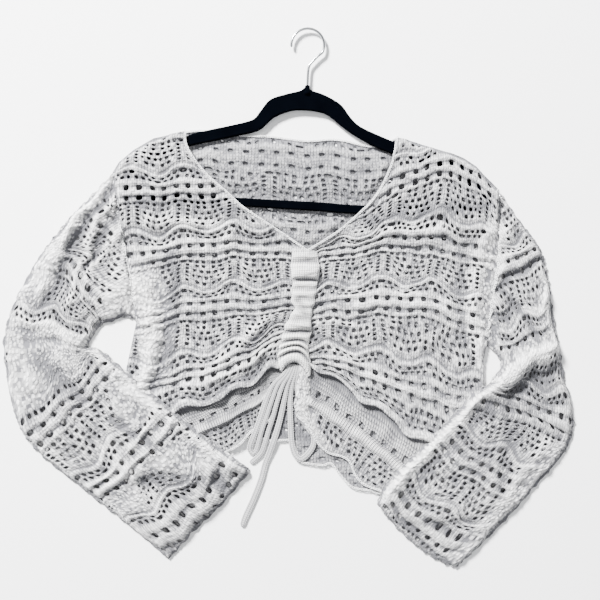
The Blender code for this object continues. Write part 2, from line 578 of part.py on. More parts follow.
def main():
    for leftover in list(bpy.data.objects):
        bpy.data.objects.remove(leftover, do_unlink=True)
    parts = new_collection("crochet_top")
    cutters = new_collection("cutters")
    knit = material("knit_cotton", COTTON, 0.9)
    jersey = material("jersey_cotton", COTTON_SMOOTH, 0.85)
    velvet = material("hanger_velvet", VELVET, 0.95)
    chrome = material("hook_chrome", CHROME, 0.15, 1.0)

    build_back(knit, parts)
    centre_left = [(x - SEAM_CENTRE, y) for x, y in CENTRE_FRONT] + CENTRE_LEFT_END
    side_left = chained(ARMHOLE_LEFT, SIDE_LEFT)
    top_left = chained(SHOULDER_LEFT, NECK_LEFT[:-1] + [centre_left[0]])
    build_front("front_left", (top_left, HEM_LEFT, side_left, centre_left, NECK_LEFT[0], 1),
                chained(side_left[::-1], SHOULDER_LEFT[:-1]), FOLDS_LEFT_FRONT, ROWS_LEFT, (-0.5, 3.5),
                knit, parts, cutters)
    side_right = chained(ARMHOLE_RIGHT, SIDE_RIGHT)
    top_right = chained(NECK_RIGHT, SHOULDER_RIGHT)
    centre_right = CENTRE_FRONT + CENTRE_RIGHT_END
    build_front("front_right", (top_right, HEM_RIGHT, centre_right, side_right, NECK_RIGHT[-1], -1),
                chained(SHOULDER_RIGHT[1:], side_right), FOLDS_RIGHT_FRONT, ROWS_RIGHT, (0.0, 4.6),
                knit, parts, cutters)
    build_casing(jersey, parts)
    build_sleeve("sleeve_left", SLEEVE_LEFT, FOLDS_SLEEVE_LEFT, knit, parts, cutters)
    build_sleeve("sleeve_right", SLEEVE_RIGHT, FOLDS_SLEEVE_RIGHT, knit, parts, cutters)
    build_laces(jersey, parts)
    build_hanger(velvet, chrome, parts)

    middle = bpy.data.objects.new("garment", None)
    parts.objects.link(middle)
    for thing in list(parts.objects) + list(cutters.objects):
        if thing != middle:
            thing.parent = middle
    middle.location = (-MIDDLE[0] / 1000, -MIDDLE[1] / 1000, 0.0)
    bpy.context.view_layer.update()


main()
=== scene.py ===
"""A white lace-knit top laid flat on its velvet hanger, with both sleeves folded forward.

Lengths in the tables are millimetres in the garment's own frame: X to the right, Y towards the
hook and Z up from the table. The row's frame lies 3.4 to its left and 1.2 above it.
"""

import math

import bpy
import numpy as np
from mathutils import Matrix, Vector
from mathutils.bvhtree import BVHTree


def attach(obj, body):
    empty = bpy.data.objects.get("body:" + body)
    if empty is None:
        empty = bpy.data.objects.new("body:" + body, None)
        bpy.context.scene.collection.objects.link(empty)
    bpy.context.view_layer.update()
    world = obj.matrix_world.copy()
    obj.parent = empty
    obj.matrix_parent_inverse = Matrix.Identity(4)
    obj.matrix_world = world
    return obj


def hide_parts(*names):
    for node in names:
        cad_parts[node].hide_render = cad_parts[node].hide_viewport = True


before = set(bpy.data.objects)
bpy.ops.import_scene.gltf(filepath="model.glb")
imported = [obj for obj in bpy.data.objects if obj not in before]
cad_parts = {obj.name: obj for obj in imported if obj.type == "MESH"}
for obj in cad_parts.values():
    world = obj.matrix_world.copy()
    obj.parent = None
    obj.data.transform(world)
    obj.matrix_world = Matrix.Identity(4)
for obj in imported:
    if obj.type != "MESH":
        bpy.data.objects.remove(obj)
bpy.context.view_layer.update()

# --- Table, daylight and camera ---------------------------------------------------------------
# A pale table top, seen from straight above. Soft daylight comes in from the upper left and
# rakes over the lace, and a wide overhead panel fills the shadows.
FRAME_WIDE = 0.732            # what the picture shows from side to side, at the cloth's height
CLOTH_HIGH = 0.005
LENS, SENSOR = 50.0, 36.0
MIDDLE_SEEN = (0.0144, -0.0024)
TABLE_HALF, TABLE_TOP = 3.0, -0.0004
SKY_BLUE, SKY_LIGHT = (0.93, 0.96, 1.0, 1.0), 0.55


def added(name, data):
    """A new object in the scene."""
    made = bpy.data.objects.new(name, data)
    bpy.context.scene.collection.objects.link(made)
    return made


def lamp(name, place, size, power):
    """A round lamp that faces the middle of the table."""
    light = bpy.data.lights.new(name, "AREA")
    light.shape, light.size, light.energy = "DISK", size, power
    made = added(name, light)
    made.location = place
    made.rotation_euler = (-Vector(place)).to_track_quat("-Z", "Y").to_euler()


def node(tree, kind, inputs=None, **settings):
    """Adds a node to a tree, sets it up and joins its inputs."""
    made = tree.nodes.new(kind)
    for key, value in settings.items():
        setattr(made, key, value)
    for socket, value in (inputs or {}).items():
        if isinstance(value, bpy.types.NodeSocket):
            tree.links.new(value, made.inputs[socket])
        else:
            made.inputs[socket].default_value = value
    return made


def finish_of(name, colour, roughness, metallic=0.0, sheen=0.0):
    """A material, its tree and its main shader."""
    look = bpy.data.materials.new(name)
    look.use_nodes = True
    shader = look.node_tree.nodes["Principled BSDF"]
    shader.inputs["Base Color"].default_value = (*colour, 1.0)
    shader.inputs["Roughness"].default_value = roughness
    shader.inputs["Metallic"].default_value = metallic
    shader.inputs["Sheen Weight"].default_value = sheen
    return look, look.node_tree, shader


def noise(tree, scale, detail):
    """An irregular pattern through the object, with so many spots in a metre."""
    place = node(tree, "ShaderNodeTexCoord").outputs["Object"]
    return node(tree, "ShaderNodeTexNoise", {"Vector": place, "Scale": scale,
                "Detail": detail}).outputs["Fac"]


def roughened(tree, shader, height, strength, distance):
    """Shades a surface as if the given height, of up to that distance, stood out of it."""
    bump = node(tree, "ShaderNodeBump", {"Height": height, "Strength": strength,
                "Distance": distance})
    tree.links.new(bump.outputs["Normal"], shader.inputs["Normal"])


camera = added("camera", bpy.data.cameras.new("camera"))
camera.data.lens, camera.data.sensor_width = LENS, SENSOR
camera.location = (*MIDDLE_SEEN, CLOTH_HIGH + FRAME_WIDE * LENS / SENSOR)
bpy.context.scene.camera = camera
lamp("window", (-1.9, 2.7, 2.2), 0.8, 1400.0)
lamp("overhead", (0.3, -0.2, 2.4), 2.6, 22.0)
sky = bpy.data.worlds.new("sky")
bpy.context.scene.world = sky
sky.use_nodes = True
sky.node_tree.nodes["Background"].inputs["Color"].default_value = SKY_BLUE
sky.node_tree.nodes["Background"].inputs["Strength"].default_value = SKY_LIGHT

paper, tree, shader = finish_of("table_top", (0.98, 0.98, 0.98), 0.8)
roughened(tree, shader, noise(tree, 60.0, 4.0), 0.05, 0.0005)
sheet = bpy.data.meshes.new("table")
sheet.from_pydata([(x * TABLE_HALF, y * TABLE_HALF, TABLE_TOP)
                   for x, y in ((-1, -1), (1, -1), (1, 1), (-1, 1))], [], [(0, 1, 2, 3)])
sheet.materials.append(paper)
table = added("table", sheet)

# --- Back panel -------------------------------------------------------------------------------
# One knitted panel of white cotton, from the neckline to the scalloped hem. It lies on the table
# and carries the rest; the lace's eyelets are left open by dropped and crossed stitches.
WALL = 2.0                    # thickness of the knitted fabric
SEAM = 0.3                    # gap between sewn layers
STITCH = 2.2                  # width of a stitch, in cells of the lace chart
MIDDLE = np.array([3.4, -1.2])    # where the tables' own zero lies in the row's frame

ARMHOLE_LEFT = [(-218, 154), (-212, 102), (-201, 41), (-189, -29)]
SIDE_LEFT = [(-189, -29), (-196, -62), (-201, -84), (-203, -123), (-196, -160), (-188, -192)]
ARMHOLE_RIGHT = [(255, 132), (256, 68), (249, 5), (239, -55)]
SIDE_RIGHT = [(239, -55), (235, -74), (235, -102), (234, -135), (228, -178), (221, -233)]
SHOULDER_LEFT = [(-218, 154), (-210, 167), (-192, 182), (-168, 196), (-150, 200), (-129, 204)]
SHOULDER_RIGHT = [(129, 196), (143, 194), (170, 185), (196, 178), (211, 172), (226, 162),
                  (235, 152), (255, 132)]
NECK_LEFT = [(-129, 204), (-127, 187), (-116, 168), (-100, 149), (-77, 129), (-60, 113),
             (-38, 98), (-6, 77), (20, 59)]
NECK_RIGHT = [(20, 59), (40, 71), (60, 84), (83, 104), (99, 120), (111, 138), (121, 160),
              (125, 174), (129, 196)]
BACK_NECK = [(-129, 204), (-111, 206), (-87, 204), (-60, 200), (-22, 198), (17, 193), (49, 195),
             (67, 193), (87, 188), (105, 187), (129, 196)]
BACK_HEM = [(-188, -189), (-154, -195), (-111, -194), (-74, -182), (-59, -173), (-44, -167),
            (-27, -173), (-1, -173), (6, -184), (11, -198), (20, -201), (39, -203), (49, -201),
            (60, -215), (72, -228), (82, -232), (96, -234), (107, -237), (133, -239),
            (182, -243), (220, -231)]
BACK_CELL = 1.55              # size of a cell of the back's lace
BACK_ROW_AT = (-101.0, 167.0)  # an eyelet row at the left neck
BACK_ROW_SLOPE = -0.063
BACK_FLAT = 1.9               # height of the back's face where it is held down
BACK_SPRING = (9.0, 16.0)     # clear of the hanger it stands up, from here and over this width
NECK_OPENING = NECK_LEFT + NECK_RIGHT[1:] + [(105, 187), (17, 193)]
HANGER_TOP_LINE = [(-195, 175), (-126, 194), (-60, 208), (-33, 222), (18, 240), (60, 220),
                   (100, 195), (194, 162), (235, 140)]
HANGER_BAR_LINE = [(-194, 126), (-60, 118), (35, 112), (235, 110)]
# Folds, here and below: half width, rise and the line of each crest, or of a trough below zero
FOLDS_BACK = [
    (11.0, -6.0, [(-7, -94), (-10, -123), (-11, -162)]),
    (8.0, -6.0, [(11, -157), (23, -172)]),
]

# The lace, counted in cells of half a stitch: a motif is mirrored about its ladder, and a repeat
# runs from one pair of large-eyelet rows to the next
MOTIF = 48
REPEAT = 60
# How far the fabric stands up at each row of the repeat, and how far the row waves
RELIEF_AT = (0, 2, 4, 6, 9, 11, 12, 14, 16, 19, 22, 40, 42, 44, 46, 48, 50, 55, 58, 60)
RELIEF = (0.9, -0.7, 0.4, 2.0, 2.0, 0.4, -0.7, 0.6, 1.5, -0.2, 0.3, 0.4, -0.2, -1.1, 1.5, 0.9, -0.1,
          -0.2, 1.3, 0.9)
WAVE_AT = (0, 12, 20, 30, 44, 50, 56, 60)
WAVE = (1.5, 1.2, 1.8, 3.5, 6.3, 5.0, 2.6, 1.5)

EYELET_MARGIN = 4.0           # no eyelet is open closer to an edge
PULL, PULL_REACH = 1.4, 38.0  # the net is drawn about this far, and how soon that changes
SHUT, SHUT_REACH = -0.85, 11.0    # small holes are pulled shut where the swell is below this
OPENING = (0, 0.46, 0.64)     # how far a closed cell, small hole and large eyelet push outwards
FRAY = 0.16                   # unevenness of each knot's place
ROUNDED = 0.55                # how far the corners of a hole are evened out
EDGE_DIP = 0.3                # the yarn lies this much lower around a hole
HOLLOW_NEAR, HOLLOW_WIDE = (2, 0.50), (10, 0.40)  # reach in cells, and weight
DEPTH_SHADE, BASE_SHADE = 0.34, 0.19
LOWEST = 0.2                  # the fabric's face stays this far above the table


def relief_of(n):
    return np.interp(n % REPEAT, RELIEF_AT, RELIEF)


def wave_of(n, m):
    return np.interp(n % REPEAT, WAVE_AT, WAVE) * np.cos(2 * math.pi * m / MOTIF)


def fans(r, d):
    """Two ladders of short slots, with fans of small holes beside them and plain leaves between."""
    slots = (r % 4 < 2) & (d > 2) & (d < 6)
    leaf = (d > 18 + (r - 28) / 5.0) & (r > 25)
    holes = (r % 5 < 2) & ((d + 2 * (r // 5)) % 6 < 3) & (d > 8) & ~leaf
    return slots | holes


def beside_ladder(m):
    return np.minimum(m % MOTIF, MOTIF - 1 - m % MOTIF)


def lace(n, m, tall=3):
    """Which cells are open: 1 in a small hole and 2 in a large eyelet."""
    r, d = n % REPEAT, beside_ladder(m)
    large = (np.abs(d % 12 - 5.5) < 2) & (r % 10 > 0) & (r % 10 < tall + 1) & (r < 16)
    small = fans(r - 22, d) & (r > 21) & (r < 42)
    small |= ((r == 18) | (r == 19)) & (d % 6 < 3)
    small |= ((r == 49) | (r == 50)) & (d % 6 < 3) | ((r == 53) | (r == 54)) & ((d + 3) % 6 < 3)
    return np.where(large, 2, small * 1)


def metres(points):
    """Points of the tables in the row's frame."""
    return (points + np.array([*MIDDLE, 0.0])) / 1000


def unit(ways):
    """The same directions with a length of 1."""
    return ways / np.maximum(np.linalg.norm(ways, axis=-1, keepdims=True), 1e-6)


def smooth(points, t):
    """Points on a smooth curve through the given ones, straight on past its ends."""
    points, t = np.asarray(points, float), np.asarray(t, float)
    ends = np.concatenate(([2 * points[0] - points[1]], points, [2 * points[-1] - points[-2]]))
    held = np.clip(t, 0, len(points) - 1)
    i = np.clip(np.floor(held).astype(int), 0, len(points) - 2)
    shape = t.shape + (1,) * (points.ndim - 1)
    f, past = (held - i).reshape(shape), (t - held).reshape(shape)
    a, b, c, d = ends[i], ends[i + 1], ends[i + 2], ends[i + 3]
    curve = 0.5 * (2 * b + (c - a) * f + (2 * a - 5 * b + 4 * c - d) * f ** 2
                   + (3 * b - a - 3 * c + d) * f ** 3)
    return curve + past * (c - b)


def spread(net, rows, columns):
    """The surface through a table of rows, at every pair of a row and a column."""
    lines = smooth(net, rows)
    return np.swapaxes(smooth(np.swapaxes(lines, 0, 1), columns), 0, 1)


def chained(*pieces):
    """One line through several tables that share their end points."""
    line = list(pieces[0])
    for piece in pieces[1:]:
        line += piece[1:] if tuple(piece[0]) == tuple(line[-1]) else list(piece)
    return line


def along(points, fractions):
    """Points at fractions of a line's length, with the line's corners smoothed."""
    fine = smooth(points, np.linspace(0, len(points) - 1, 12 * len(points)))
    steps = np.concatenate(([0.0], np.cumsum(np.linalg.norm(np.diff(fine, axis=0), axis=1))))
    wanted = np.asarray(fractions) * steps[-1]
    return np.stack([np.interp(wanted, steps, fine[:, k]) for k in range(fine.shape[1])], axis=1)


def run_of(points):
    return float(np.sum(np.linalg.norm(np.diff(np.asarray(points, float), axis=0), axis=1)))


def nearest(x, y, line):
    """The distance to a line of points and the nearest place on it."""
    line = np.asarray(line, float)
    best, place = np.full(np.shape(x), 1e9), np.zeros(np.shape(x) + (2,))
    for a, b in zip(line[:-1], line[1:]):
        way = b - a
        part = ((x - a[0]) * way[0] + (y - a[1]) * way[1]) / max(way @ way, 1e-9)
        part = np.clip(part, 0.0, 1.0)
        px, py = a[0] + part * way[0], a[1] + part * way[1]
        far = np.hypot(x - px, y - py)
        closer = far < best
        best = np.where(closer, far, best)
        place[closer] = np.stack((px, py), axis=-1)[closer]
    return best, place


def inside(x, y, outline):
    outline = np.asarray(outline, float)
    odd = np.zeros(np.shape(x), bool)
    for a, b in zip(outline, np.roll(outline, -1, axis=0)):
        rise = b[1] - a[1] if b[1] != a[1] else 1e-9
        odd ^= ((a[1] > y) != (b[1] > y)) & (x < (b[0] - a[0]) * (y - a[1]) / rise + a[0])
    return odd


def ease(value):
    value = np.clip(value, 0.0, 1.0)
    return value * value * (3.0 - 2.0 * value)


def uneven(x, y, seed, reach=34.0):
    """A gentle, irregular swell between about -1 and 1."""
    chance = np.random.default_rng(seed)
    total = np.zeros(np.shape(x))
    for _ in range(7):
        turn, size = chance.uniform(0, 2 * math.pi), reach * chance.uniform(0.6, 1.9)
        total += np.sin((x * math.cos(turn) + y * math.sin(turn)) * 2 * math.pi / size
                        + chance.uniform(0, 6.3))
    return total / 3.2


def evened(values, reach):
    """The values averaged over a square of cells around each one."""
    size = 2 * reach + 1
    total = np.cumsum(np.cumsum(np.pad(values, reach, mode="edge"), 0), 1)
    total = np.pad(total, ((1, 0), (1, 0)))
    return (total[size:, size:] - total[:-size, size:] - total[size:, :-size]
            + total[:-size, :-size]) / size ** 2


def hollow_of(z, near, wide):
    """How deep each point lies below the fabric around it, near by and further off."""
    return sum(weight * (evened(z, reach) - z) for reach, weight in (near, wide))


def lace_cloth(name, places, heights, opened, outline, look, rim=1.5, seed=1, first=(0, 0),
               moss=0.12, knots=0.5, dip=0.0, rim_shade=0.42, soft=0.0, lip=0.25):
    """Knitted lace on a grid of places, trimmed to an outline and open at the eyelets.

    Each cell left open loses its face and pushes its corners outwards, and the edge of every
    hole is evened out so that it comes out round. Then all edges turn down by the rim, and
    with a dip the holes get narrower towards the bottom.
    """
    chance = np.random.default_rng(seed)
    rows, columns = opened.shape
    x, y = places[..., 0], places[..., 1]
    places = places + PULL * np.stack([uneven(x, y, seed + k, PULL_REACH) for k in (5, 6)], 2)
    x, y = places[..., 0], places[..., 1]
    shut = uneven(x[:-1, :-1], y[:-1, :-1], seed + 7, SHUT_REACH) < SHUT
    opened = np.where(shut & (opened == 1), 0, opened)
    mid = 0.25 * (places[:-1, :-1] + places[1:, :-1] + places[:-1, 1:] + places[1:, 1:])
    closed = list(outline) + [outline[0]]
    kept = inside(mid[..., 0], mid[..., 1], outline)
    opened = opened * (nearest(mid[..., 0], mid[..., 1], closed)[0] > EYELET_MARGIN) * kept
    shown = kept & (opened == 0)
    push = np.zeros_like(places)
    used, beside_large = np.zeros((2, rows + 1, columns + 1), bool)
    count = np.zeros((rows + 1, columns + 1), int)
    for di, dj in ((0, 0), (0, 1), (1, 0), (1, 1)):
        corner = slice(di, rows + di), slice(dj, columns + dj)
        push[corner] += (places[corner] - mid) * np.choose(opened, OPENING)[..., None]
        used[corner] |= shown
        beside_large[corner] |= opened == 2
        count[corner] += kept
    touched = np.linalg.norm(push, axis=2) > 0
    spots = places + push + FRAY * chance.uniform(-1.0, 1.0, places.shape)
    i, j = np.indices(x.shape) // 3        # one knot of moss is three cells wide
    bumps = chance.uniform(0.3, 1.0, (rows // 3 + 1, columns // 3 + 1))[i, j]
    bumps = np.where((i + j) % 2, bumps, -bumps)
    z = heights - EDGE_DIP * touched
    hollow = hollow_of(z, HOLLOW_NEAR, HOLLOW_WIDE)
    z = np.maximum(z + moss * (0.4 * chance.uniform(-1.0, 1.0, x.shape) + bumps), LOWEST)
    outer = used & (count < 4)
    spots[outer] = nearest(x[outer], y[outer], closed)[1]
    ring, beside = np.zeros_like(places), np.zeros((rows + 1, columns + 1))
    framed = np.pad(shown, 1)
    across = framed[:-1, 1:-1] != framed[1:, 1:-1]
    down = framed[1:-1, :-1] != framed[1:-1, 1:]
    for edges, step in ((across, (0, 1)), (down, (1, 0))):
        i, j = np.nonzero(edges)
        for a, b in (((i, j), (i + step[0], j + step[1])), ((i + step[0], j + step[1]), (i, j))):
            np.add.at(ring, a, spots[b])
            np.add.at(beside, a, 1)
    hole = used & (beside > 0) & ~outer
    spots[hole] = (1 - ROUNDED) * spots[hole] + ROUNDED * ring[hole] / beside[hole][:, None]
    number = np.full(used.shape, -1)
    number[used] = np.arange(int(used.sum()))
    i, j = np.nonzero(shown)
    faces = np.stack((number[i, j], number[i + 1, j], number[i + 1, j + 1], number[i, j + 1]), 1)
    ahead, aside = places[i + 1, j] - places[i, j], places[i, j + 1] - places[i, j]
    if np.sum(ahead[:, 0] * aside[:, 1] - ahead[:, 1] * aside[:, 0]) < 0:
        faces = faces[:, ::-1]
    grid = np.stack(np.meshgrid(np.arange(rows + 1) + first[0], np.arange(columns + 1) + first[1],
                                indexing="ij"), axis=2)[used]
    # painted shade: darker at holes, in hollows and fold troughs, lighter on ridges; walls get
    # rim_shade
    shade = lip * touched + DEPTH_SHADE * np.clip(hollow, -0.7, 1.6) + BASE_SHADE + soft
    inward = -dip * unit(push) * np.where(beside_large, 1.5, 1.0)[..., None]
    inward[outer] = 0.0
    return turned_down(name, metres(np.column_stack((spots[used], z[used]))), faces,
                       np.column_stack((grid[:, 1], -grid[:, 0])) / STITCH,
                       np.stack((shade, np.broadcast_to(knots, x.shape)), axis=2)[used], look,
                       rim, inward[used], np.where(touched, rim_shade, 0.15)[used])


def turned_down(name, points, faces, stitches, painted_shade_knots_and_wear, look, rim, inward=0.0, rim_shade=0.3):
    """A sheet whose edges, also those of its eyelets, turn down by the fabric's thickness."""
    size = len(points)
    a, b = faces.ravel(), np.roll(faces, -1, axis=1).ravel()
    key = np.minimum(a, b) * size + np.maximum(a, b)
    _, where, uses = np.unique(key, return_index=True, return_counts=True)
    a, b = a[where[uses == 1]], b[where[uses == 1]]
    border = np.unique(np.concatenate((a, b)))
    lower = np.full(size, -1)
    lower[border] = size + np.arange(len(border))
    dropped = points - np.array([0, 0, rim / 1000])
    dropped[:, :2] += inward / 1000
    dropped[:, 2] = np.maximum(dropped[:, 2], 0.0)
    # the walls take rim_shade: painted shade down the turned-down edges
    below = np.column_stack((np.broadcast_to(rim_shade, size), painted_shade_knots_and_wear[:, 1]))[border]
    return mesh_of(name, np.concatenate((points, dropped[border])),
                   np.concatenate((faces, np.stack((b, a, lower[a], lower[b]), axis=1))),
                   np.concatenate((stitches, stitches[border] + 0.4)),
                   np.concatenate((painted_shade_knots_and_wear, below)), look)


def mesh_of(name, points, faces, stitches, painted_shade_knots_and_wear, look):
    """A mesh object with its stitches as a UV map, and painted shade and knots at each point."""
    data = bpy.data.meshes.new(name)
    data.from_pydata(points.tolist(), [], faces.tolist())
    for column, label in enumerate(("shade", "knots")):
        data.attributes.new(label, "FLOAT", "POINT").data.foreach_set("value", painted_shade_knots_and_wear[:, column])
    return dressed(name, data, stitches, look)


def dressed(name, data, stitches, look):
    """Gives a mesh its material, and its stitches as a UV map."""
    loops = np.zeros(len(data.loops), int)
    data.loops.foreach_get("vertex_index", loops)
    data.uv_layers.new(name="stitches").data.foreach_set("uv", stitches[loops].ravel())
    data.shade_smooth()
    data.materials.append(look)
    return added(name, data)


def folded(x, y, folds):
    """The height that a set of folds adds at each place."""
    height = np.zeros(np.shape(x))
    for width, rise, crest in folds:
        height += rise * np.exp(-(nearest(x, y, crest)[0] / width) ** 2)
    return height


def soft_shade(folds):
    """Less light reaches a trough and more reaches a ridge."""
    return np.clip(-0.11 * folds, -0.20, 0.55)


def body_outline():
    left, right = chained(ARMHOLE_LEFT, SIDE_LEFT), chained(ARMHOLE_RIGHT, SIDE_RIGHT)
    return chained(left, BACK_HEM, right[::-1], SHOULDER_RIGHT[::-1], BACK_NECK[::-1],
                   SHOULDER_LEFT[::-1])[:-1]


def shader_group(name, inputs, outputs):
    """An empty group of shader nodes with its sockets: the tree, its inputs and its outputs."""
    group = bpy.data.node_groups.new(name, "ShaderNodeTree")
    for label, kind, value in inputs:
        socket = group.interface.new_socket(label, in_out="INPUT", socket_type=kind)
        if value is not None:
            socket.default_value = value
    for label, kind in outputs:
        group.interface.new_socket(label, in_out="OUTPUT", socket_type=kind)
    nodes = group.nodes
    return group, nodes.new("NodeGroupInput").outputs, nodes.new("NodeGroupOutput").inputs


def sums_in(tree):
    """A short way to write sums with the nodes of a tree."""
    def sum_of(operation, a, b=0.0):
        return node(tree, "ShaderNodeMath", {0: a, 1: b}, operation=operation).outputs[0]
    return sum_of


# The face of knitted fabric: every stitch is a V of two legs in a rib of its own, and each course
# tucks into the one below. Where the face is mossy, round knots stand in place of the ribs.
# Height is for the bump and Valley for the shade between the yarns.
LEG_AT = 0.22                 # the middle of a leg, from the middle of its stitch
LEG_SLANT = 1.1               # how far a leg climbs from the middle to the side
KNOT_SIZE, KNOT_SCATTER, KNOT_LOWEST = 0.64, 0.85, 0.52
stitch_group, given, out = shader_group(
    "knit stitches", [("Stitches", "NodeSocketVector", None), ("Knots", "NodeSocketFloat", 0.3),
                      ("Fuzz", "NodeSocketFloat", 0.35), ("Unevenness", "NodeSocketFloat", 0.8)],
    [("Height", "NodeSocketFloat"), ("Valley", "NodeSocketFloat")])
sum_of = sums_in(stitch_group)
parts = node(stitch_group, "ShaderNodeSeparateXYZ", {0: given["Stitches"]}).outputs
side = sum_of("ABSOLUTE", sum_of("SUBTRACT", sum_of("FRACT", parts["X"]), 0.5))
leg = sum_of("MULTIPLY", 2.0, sum_of("ABSOLUTE", sum_of("SUBTRACT", side, LEG_AT)))
leg = sum_of("SUBTRACT", 1.0, leg)
rib = sum_of("SUBTRACT", 1.0, sum_of("POWER", sum_of("MULTIPLY", side, 2.0), 2.5))
course = sum_of("FRACT", sum_of("SUBTRACT", parts["Y"], sum_of("MULTIPLY", side, LEG_SLANT)))
loop = sum_of("SINE", sum_of("MULTIPLY", course, math.pi))
tuck = sum_of("ADD", 0.4, sum_of("MULTIPLY", loop, 0.8))
yarn = sum_of("MULTIPLY", sum_of("MULTIPLY", leg, rib), tuck)
dots = node(stitch_group, "ShaderNodeTexVoronoi", {"Vector": given["Stitches"], "Scale": KNOT_SIZE,
            "Randomness": KNOT_SCATTER}, voronoi_dimensions="2D")
knot = sum_of("SUBTRACT", 1.45, sum_of("MULTIPLY", dots.outputs["Distance"], 2.3))
knot = sum_of("MAXIMUM", sum_of("MINIMUM", knot, 1.0), KNOT_LOWEST)
yarn = node(stitch_group, "ShaderNodeMix", {"Factor": given["Knots"], "A": yarn,
            "B": knot}).outputs["Result"]
hair = node(stitch_group, "ShaderNodeTexNoise", {"Vector": given["Stitches"], "Scale": 1.7,
            "Detail": 5.0, "Roughness": 0.7})
fuzz = sum_of("MULTIPLY", hair.outputs["Fac"], given["Fuzz"])
stitch_group.links.new(sum_of("ADD", yarn, fuzz), out["Height"])
one = node(stitch_group, "ShaderNodeVectorMath", {0: given["Stitches"]}, operation="FLOOR")
chance = node(stitch_group, "ShaderNodeTexWhiteNoise", {"Vector": one.outputs["Vector"]},
              noise_dimensions="2D")
loose = sum_of("MULTIPLY", sum_of("SUBTRACT", chance.outputs["Value"], 0.4), given["Unevenness"])
loose = sum_of("MULTIPLY", loose, sum_of("ADD", given["Knots"], 0.25))
valley = sum_of("ADD", sum_of("SUBTRACT", 1.0, yarn), loose)
stitch_group.links.new(sum_of("MAXIMUM", valley, 0.0), out["Valley"])

# Cotton isn't one white: it is creamier where handled, and painted shade greys it between yarns
tone_group, given, out = shader_group(
    "cotton tone", [("Colour", "NodeSocketColor", (0.6, 0.6, 0.6, 1.0)),
                    ("Place", "NodeSocketVector", None), ("Valley", "NodeSocketFloat", 0.0),
                    ("Shade", "NodeSocketFloat", 0.0), ("Depth", "NodeSocketFloat", 0.22)],
    [("Colour", "NodeSocketColor")])
sum_of = sums_in(tone_group)
cloud = node(tone_group, "ShaderNodeTexNoise", {"Vector": given["Place"], "Scale": 14.0,
             "Detail": 3.0})
warm = node(tone_group, "ShaderNodeMix", {"Factor": cloud.outputs["Fac"], "A": given["Colour"],
            "B": (0.97, 0.95, 0.91, 1.0)}, data_type="RGBA", blend_type="MULTIPLY")
shade = sum_of("MULTIPLY", given["Valley"], given["Depth"])
shade = sum_of("ADD", sum_of("ADD", shade, given["Shade"]), 0.10)
# painted shade: the colour turns towards this dark grey between yarns and where shade is set
dark = node(tone_group, "ShaderNodeMix", {"Factor": shade, "A": warm.outputs["Result"],
            "B": (0.10, 0.10, 0.11, 1.0)}, data_type="RGBA")
tone_group.links.new(dark.outputs["Result"], out["Colour"])


def cotton(name, colour, depth=1.0, lift=0.0016, fuzz=0.5, uneven_stitches=0.5, scale=1.0):
    """Knitted cotton, its stitches following the fabric."""
    look, tree, shader = finish_of(name, colour, 0.92, sheen=0.12)
    uv = node(tree, "ShaderNodeUVMap", uv_map="stitches").outputs["UV"]
    size = node(tree, "ShaderNodeMapping", {"Vector": uv, "Scale": (scale,) * 3})
    place = node(tree, "ShaderNodeTexCoord").outputs["Object"]
    # the shade attribute is painted shade: darker in hollows, at eyelets and along fold troughs
    painted_shade_knots_and_wear, knots = (node(tree, "ShaderNodeAttribute", attribute_name=label).outputs["Fac"]
                   for label in ("shade", "knots"))
    knit = node(tree, "ShaderNodeGroup", node_tree=stitch_group)
    for label, value in (("Fuzz", fuzz), ("Unevenness", uneven_stitches)):
        knit.inputs[label].default_value = value
    tone = node(tree, "ShaderNodeGroup", node_tree=tone_group)
    tone.inputs["Colour"].default_value = (*colour, 1.0)
    tone.inputs["Depth"].default_value = depth
    for source, target in ((size.outputs["Vector"], knit.inputs["Stitches"]),
                           (knots, knit.inputs["Knots"]), (place, tone.inputs["Place"]),
                           (knit.outputs["Valley"], tone.inputs["Valley"]),
                           (painted_shade_knots_and_wear, tone.inputs["Shade"]),
                           (tone.outputs["Colour"], shader.inputs["Base Color"])):
        tree.links.new(source, target)
    roughened(tree, shader, knit.outputs["Height"], 0.9, lift)
    return look


knit_cotton = cotton("knit_cotton", (0.80, 0.80, 0.81), scale=0.9)
# the back's cotton is the same yarn, made darker as painted shade
back_cotton_painted_shade = cotton("back_cotton_painted_shade", (0.47, 0.47, 0.48), scale=0.9)

outline = body_outline()
x0, x1 = min(p[0] for p in outline), max(p[0] for p in outline)
y0, y1 = min(p[1] for p in outline), max(p[1] for p in outline)
first_column = math.floor((x0 - BACK_ROW_AT[0]) / BACK_CELL) - 1
columns = math.ceil((x1 - BACK_ROW_AT[0]) / BACK_CELL) + 1 - first_column
first_row = math.floor((BACK_ROW_AT[1] - y1) / BACK_CELL) - 14
rows = math.ceil((BACK_ROW_AT[1] - y0) / BACK_CELL) + 24 - first_row
m = first_column + np.arange(columns + 1)[None, :]
n = first_row + np.arange(rows + 1)[:, None]
bx = BACK_ROW_AT[0] + BACK_CELL * m + 0.0 * n
by = (BACK_ROW_AT[1] - BACK_CELL * (n - 12.5) + BACK_ROW_SLOPE * (bx - BACK_ROW_AT[0])
      + wave_of(n, m))
# Between the hanger's bars and below the V nothing holds the back down, so it stands up a little
bars = np.minimum(nearest(bx, by, HANGER_TOP_LINE)[0], nearest(bx, by, HANGER_BAR_LINE)[0])
free = ease((bars - BACK_SPRING[0]) / BACK_SPRING[1]) * inside(bx, by, NECK_OPENING)
free = free * ease(nearest(bx, by, NECK_OPENING + NECK_OPENING[:1])[0] / 10.0)
bz = (BACK_FLAT + 0.35 * relief_of(n) + 0.2 * uneven(bx, by, 3)
      + free * (3.4 + 0.9 * uneven(bx, by, 4)))
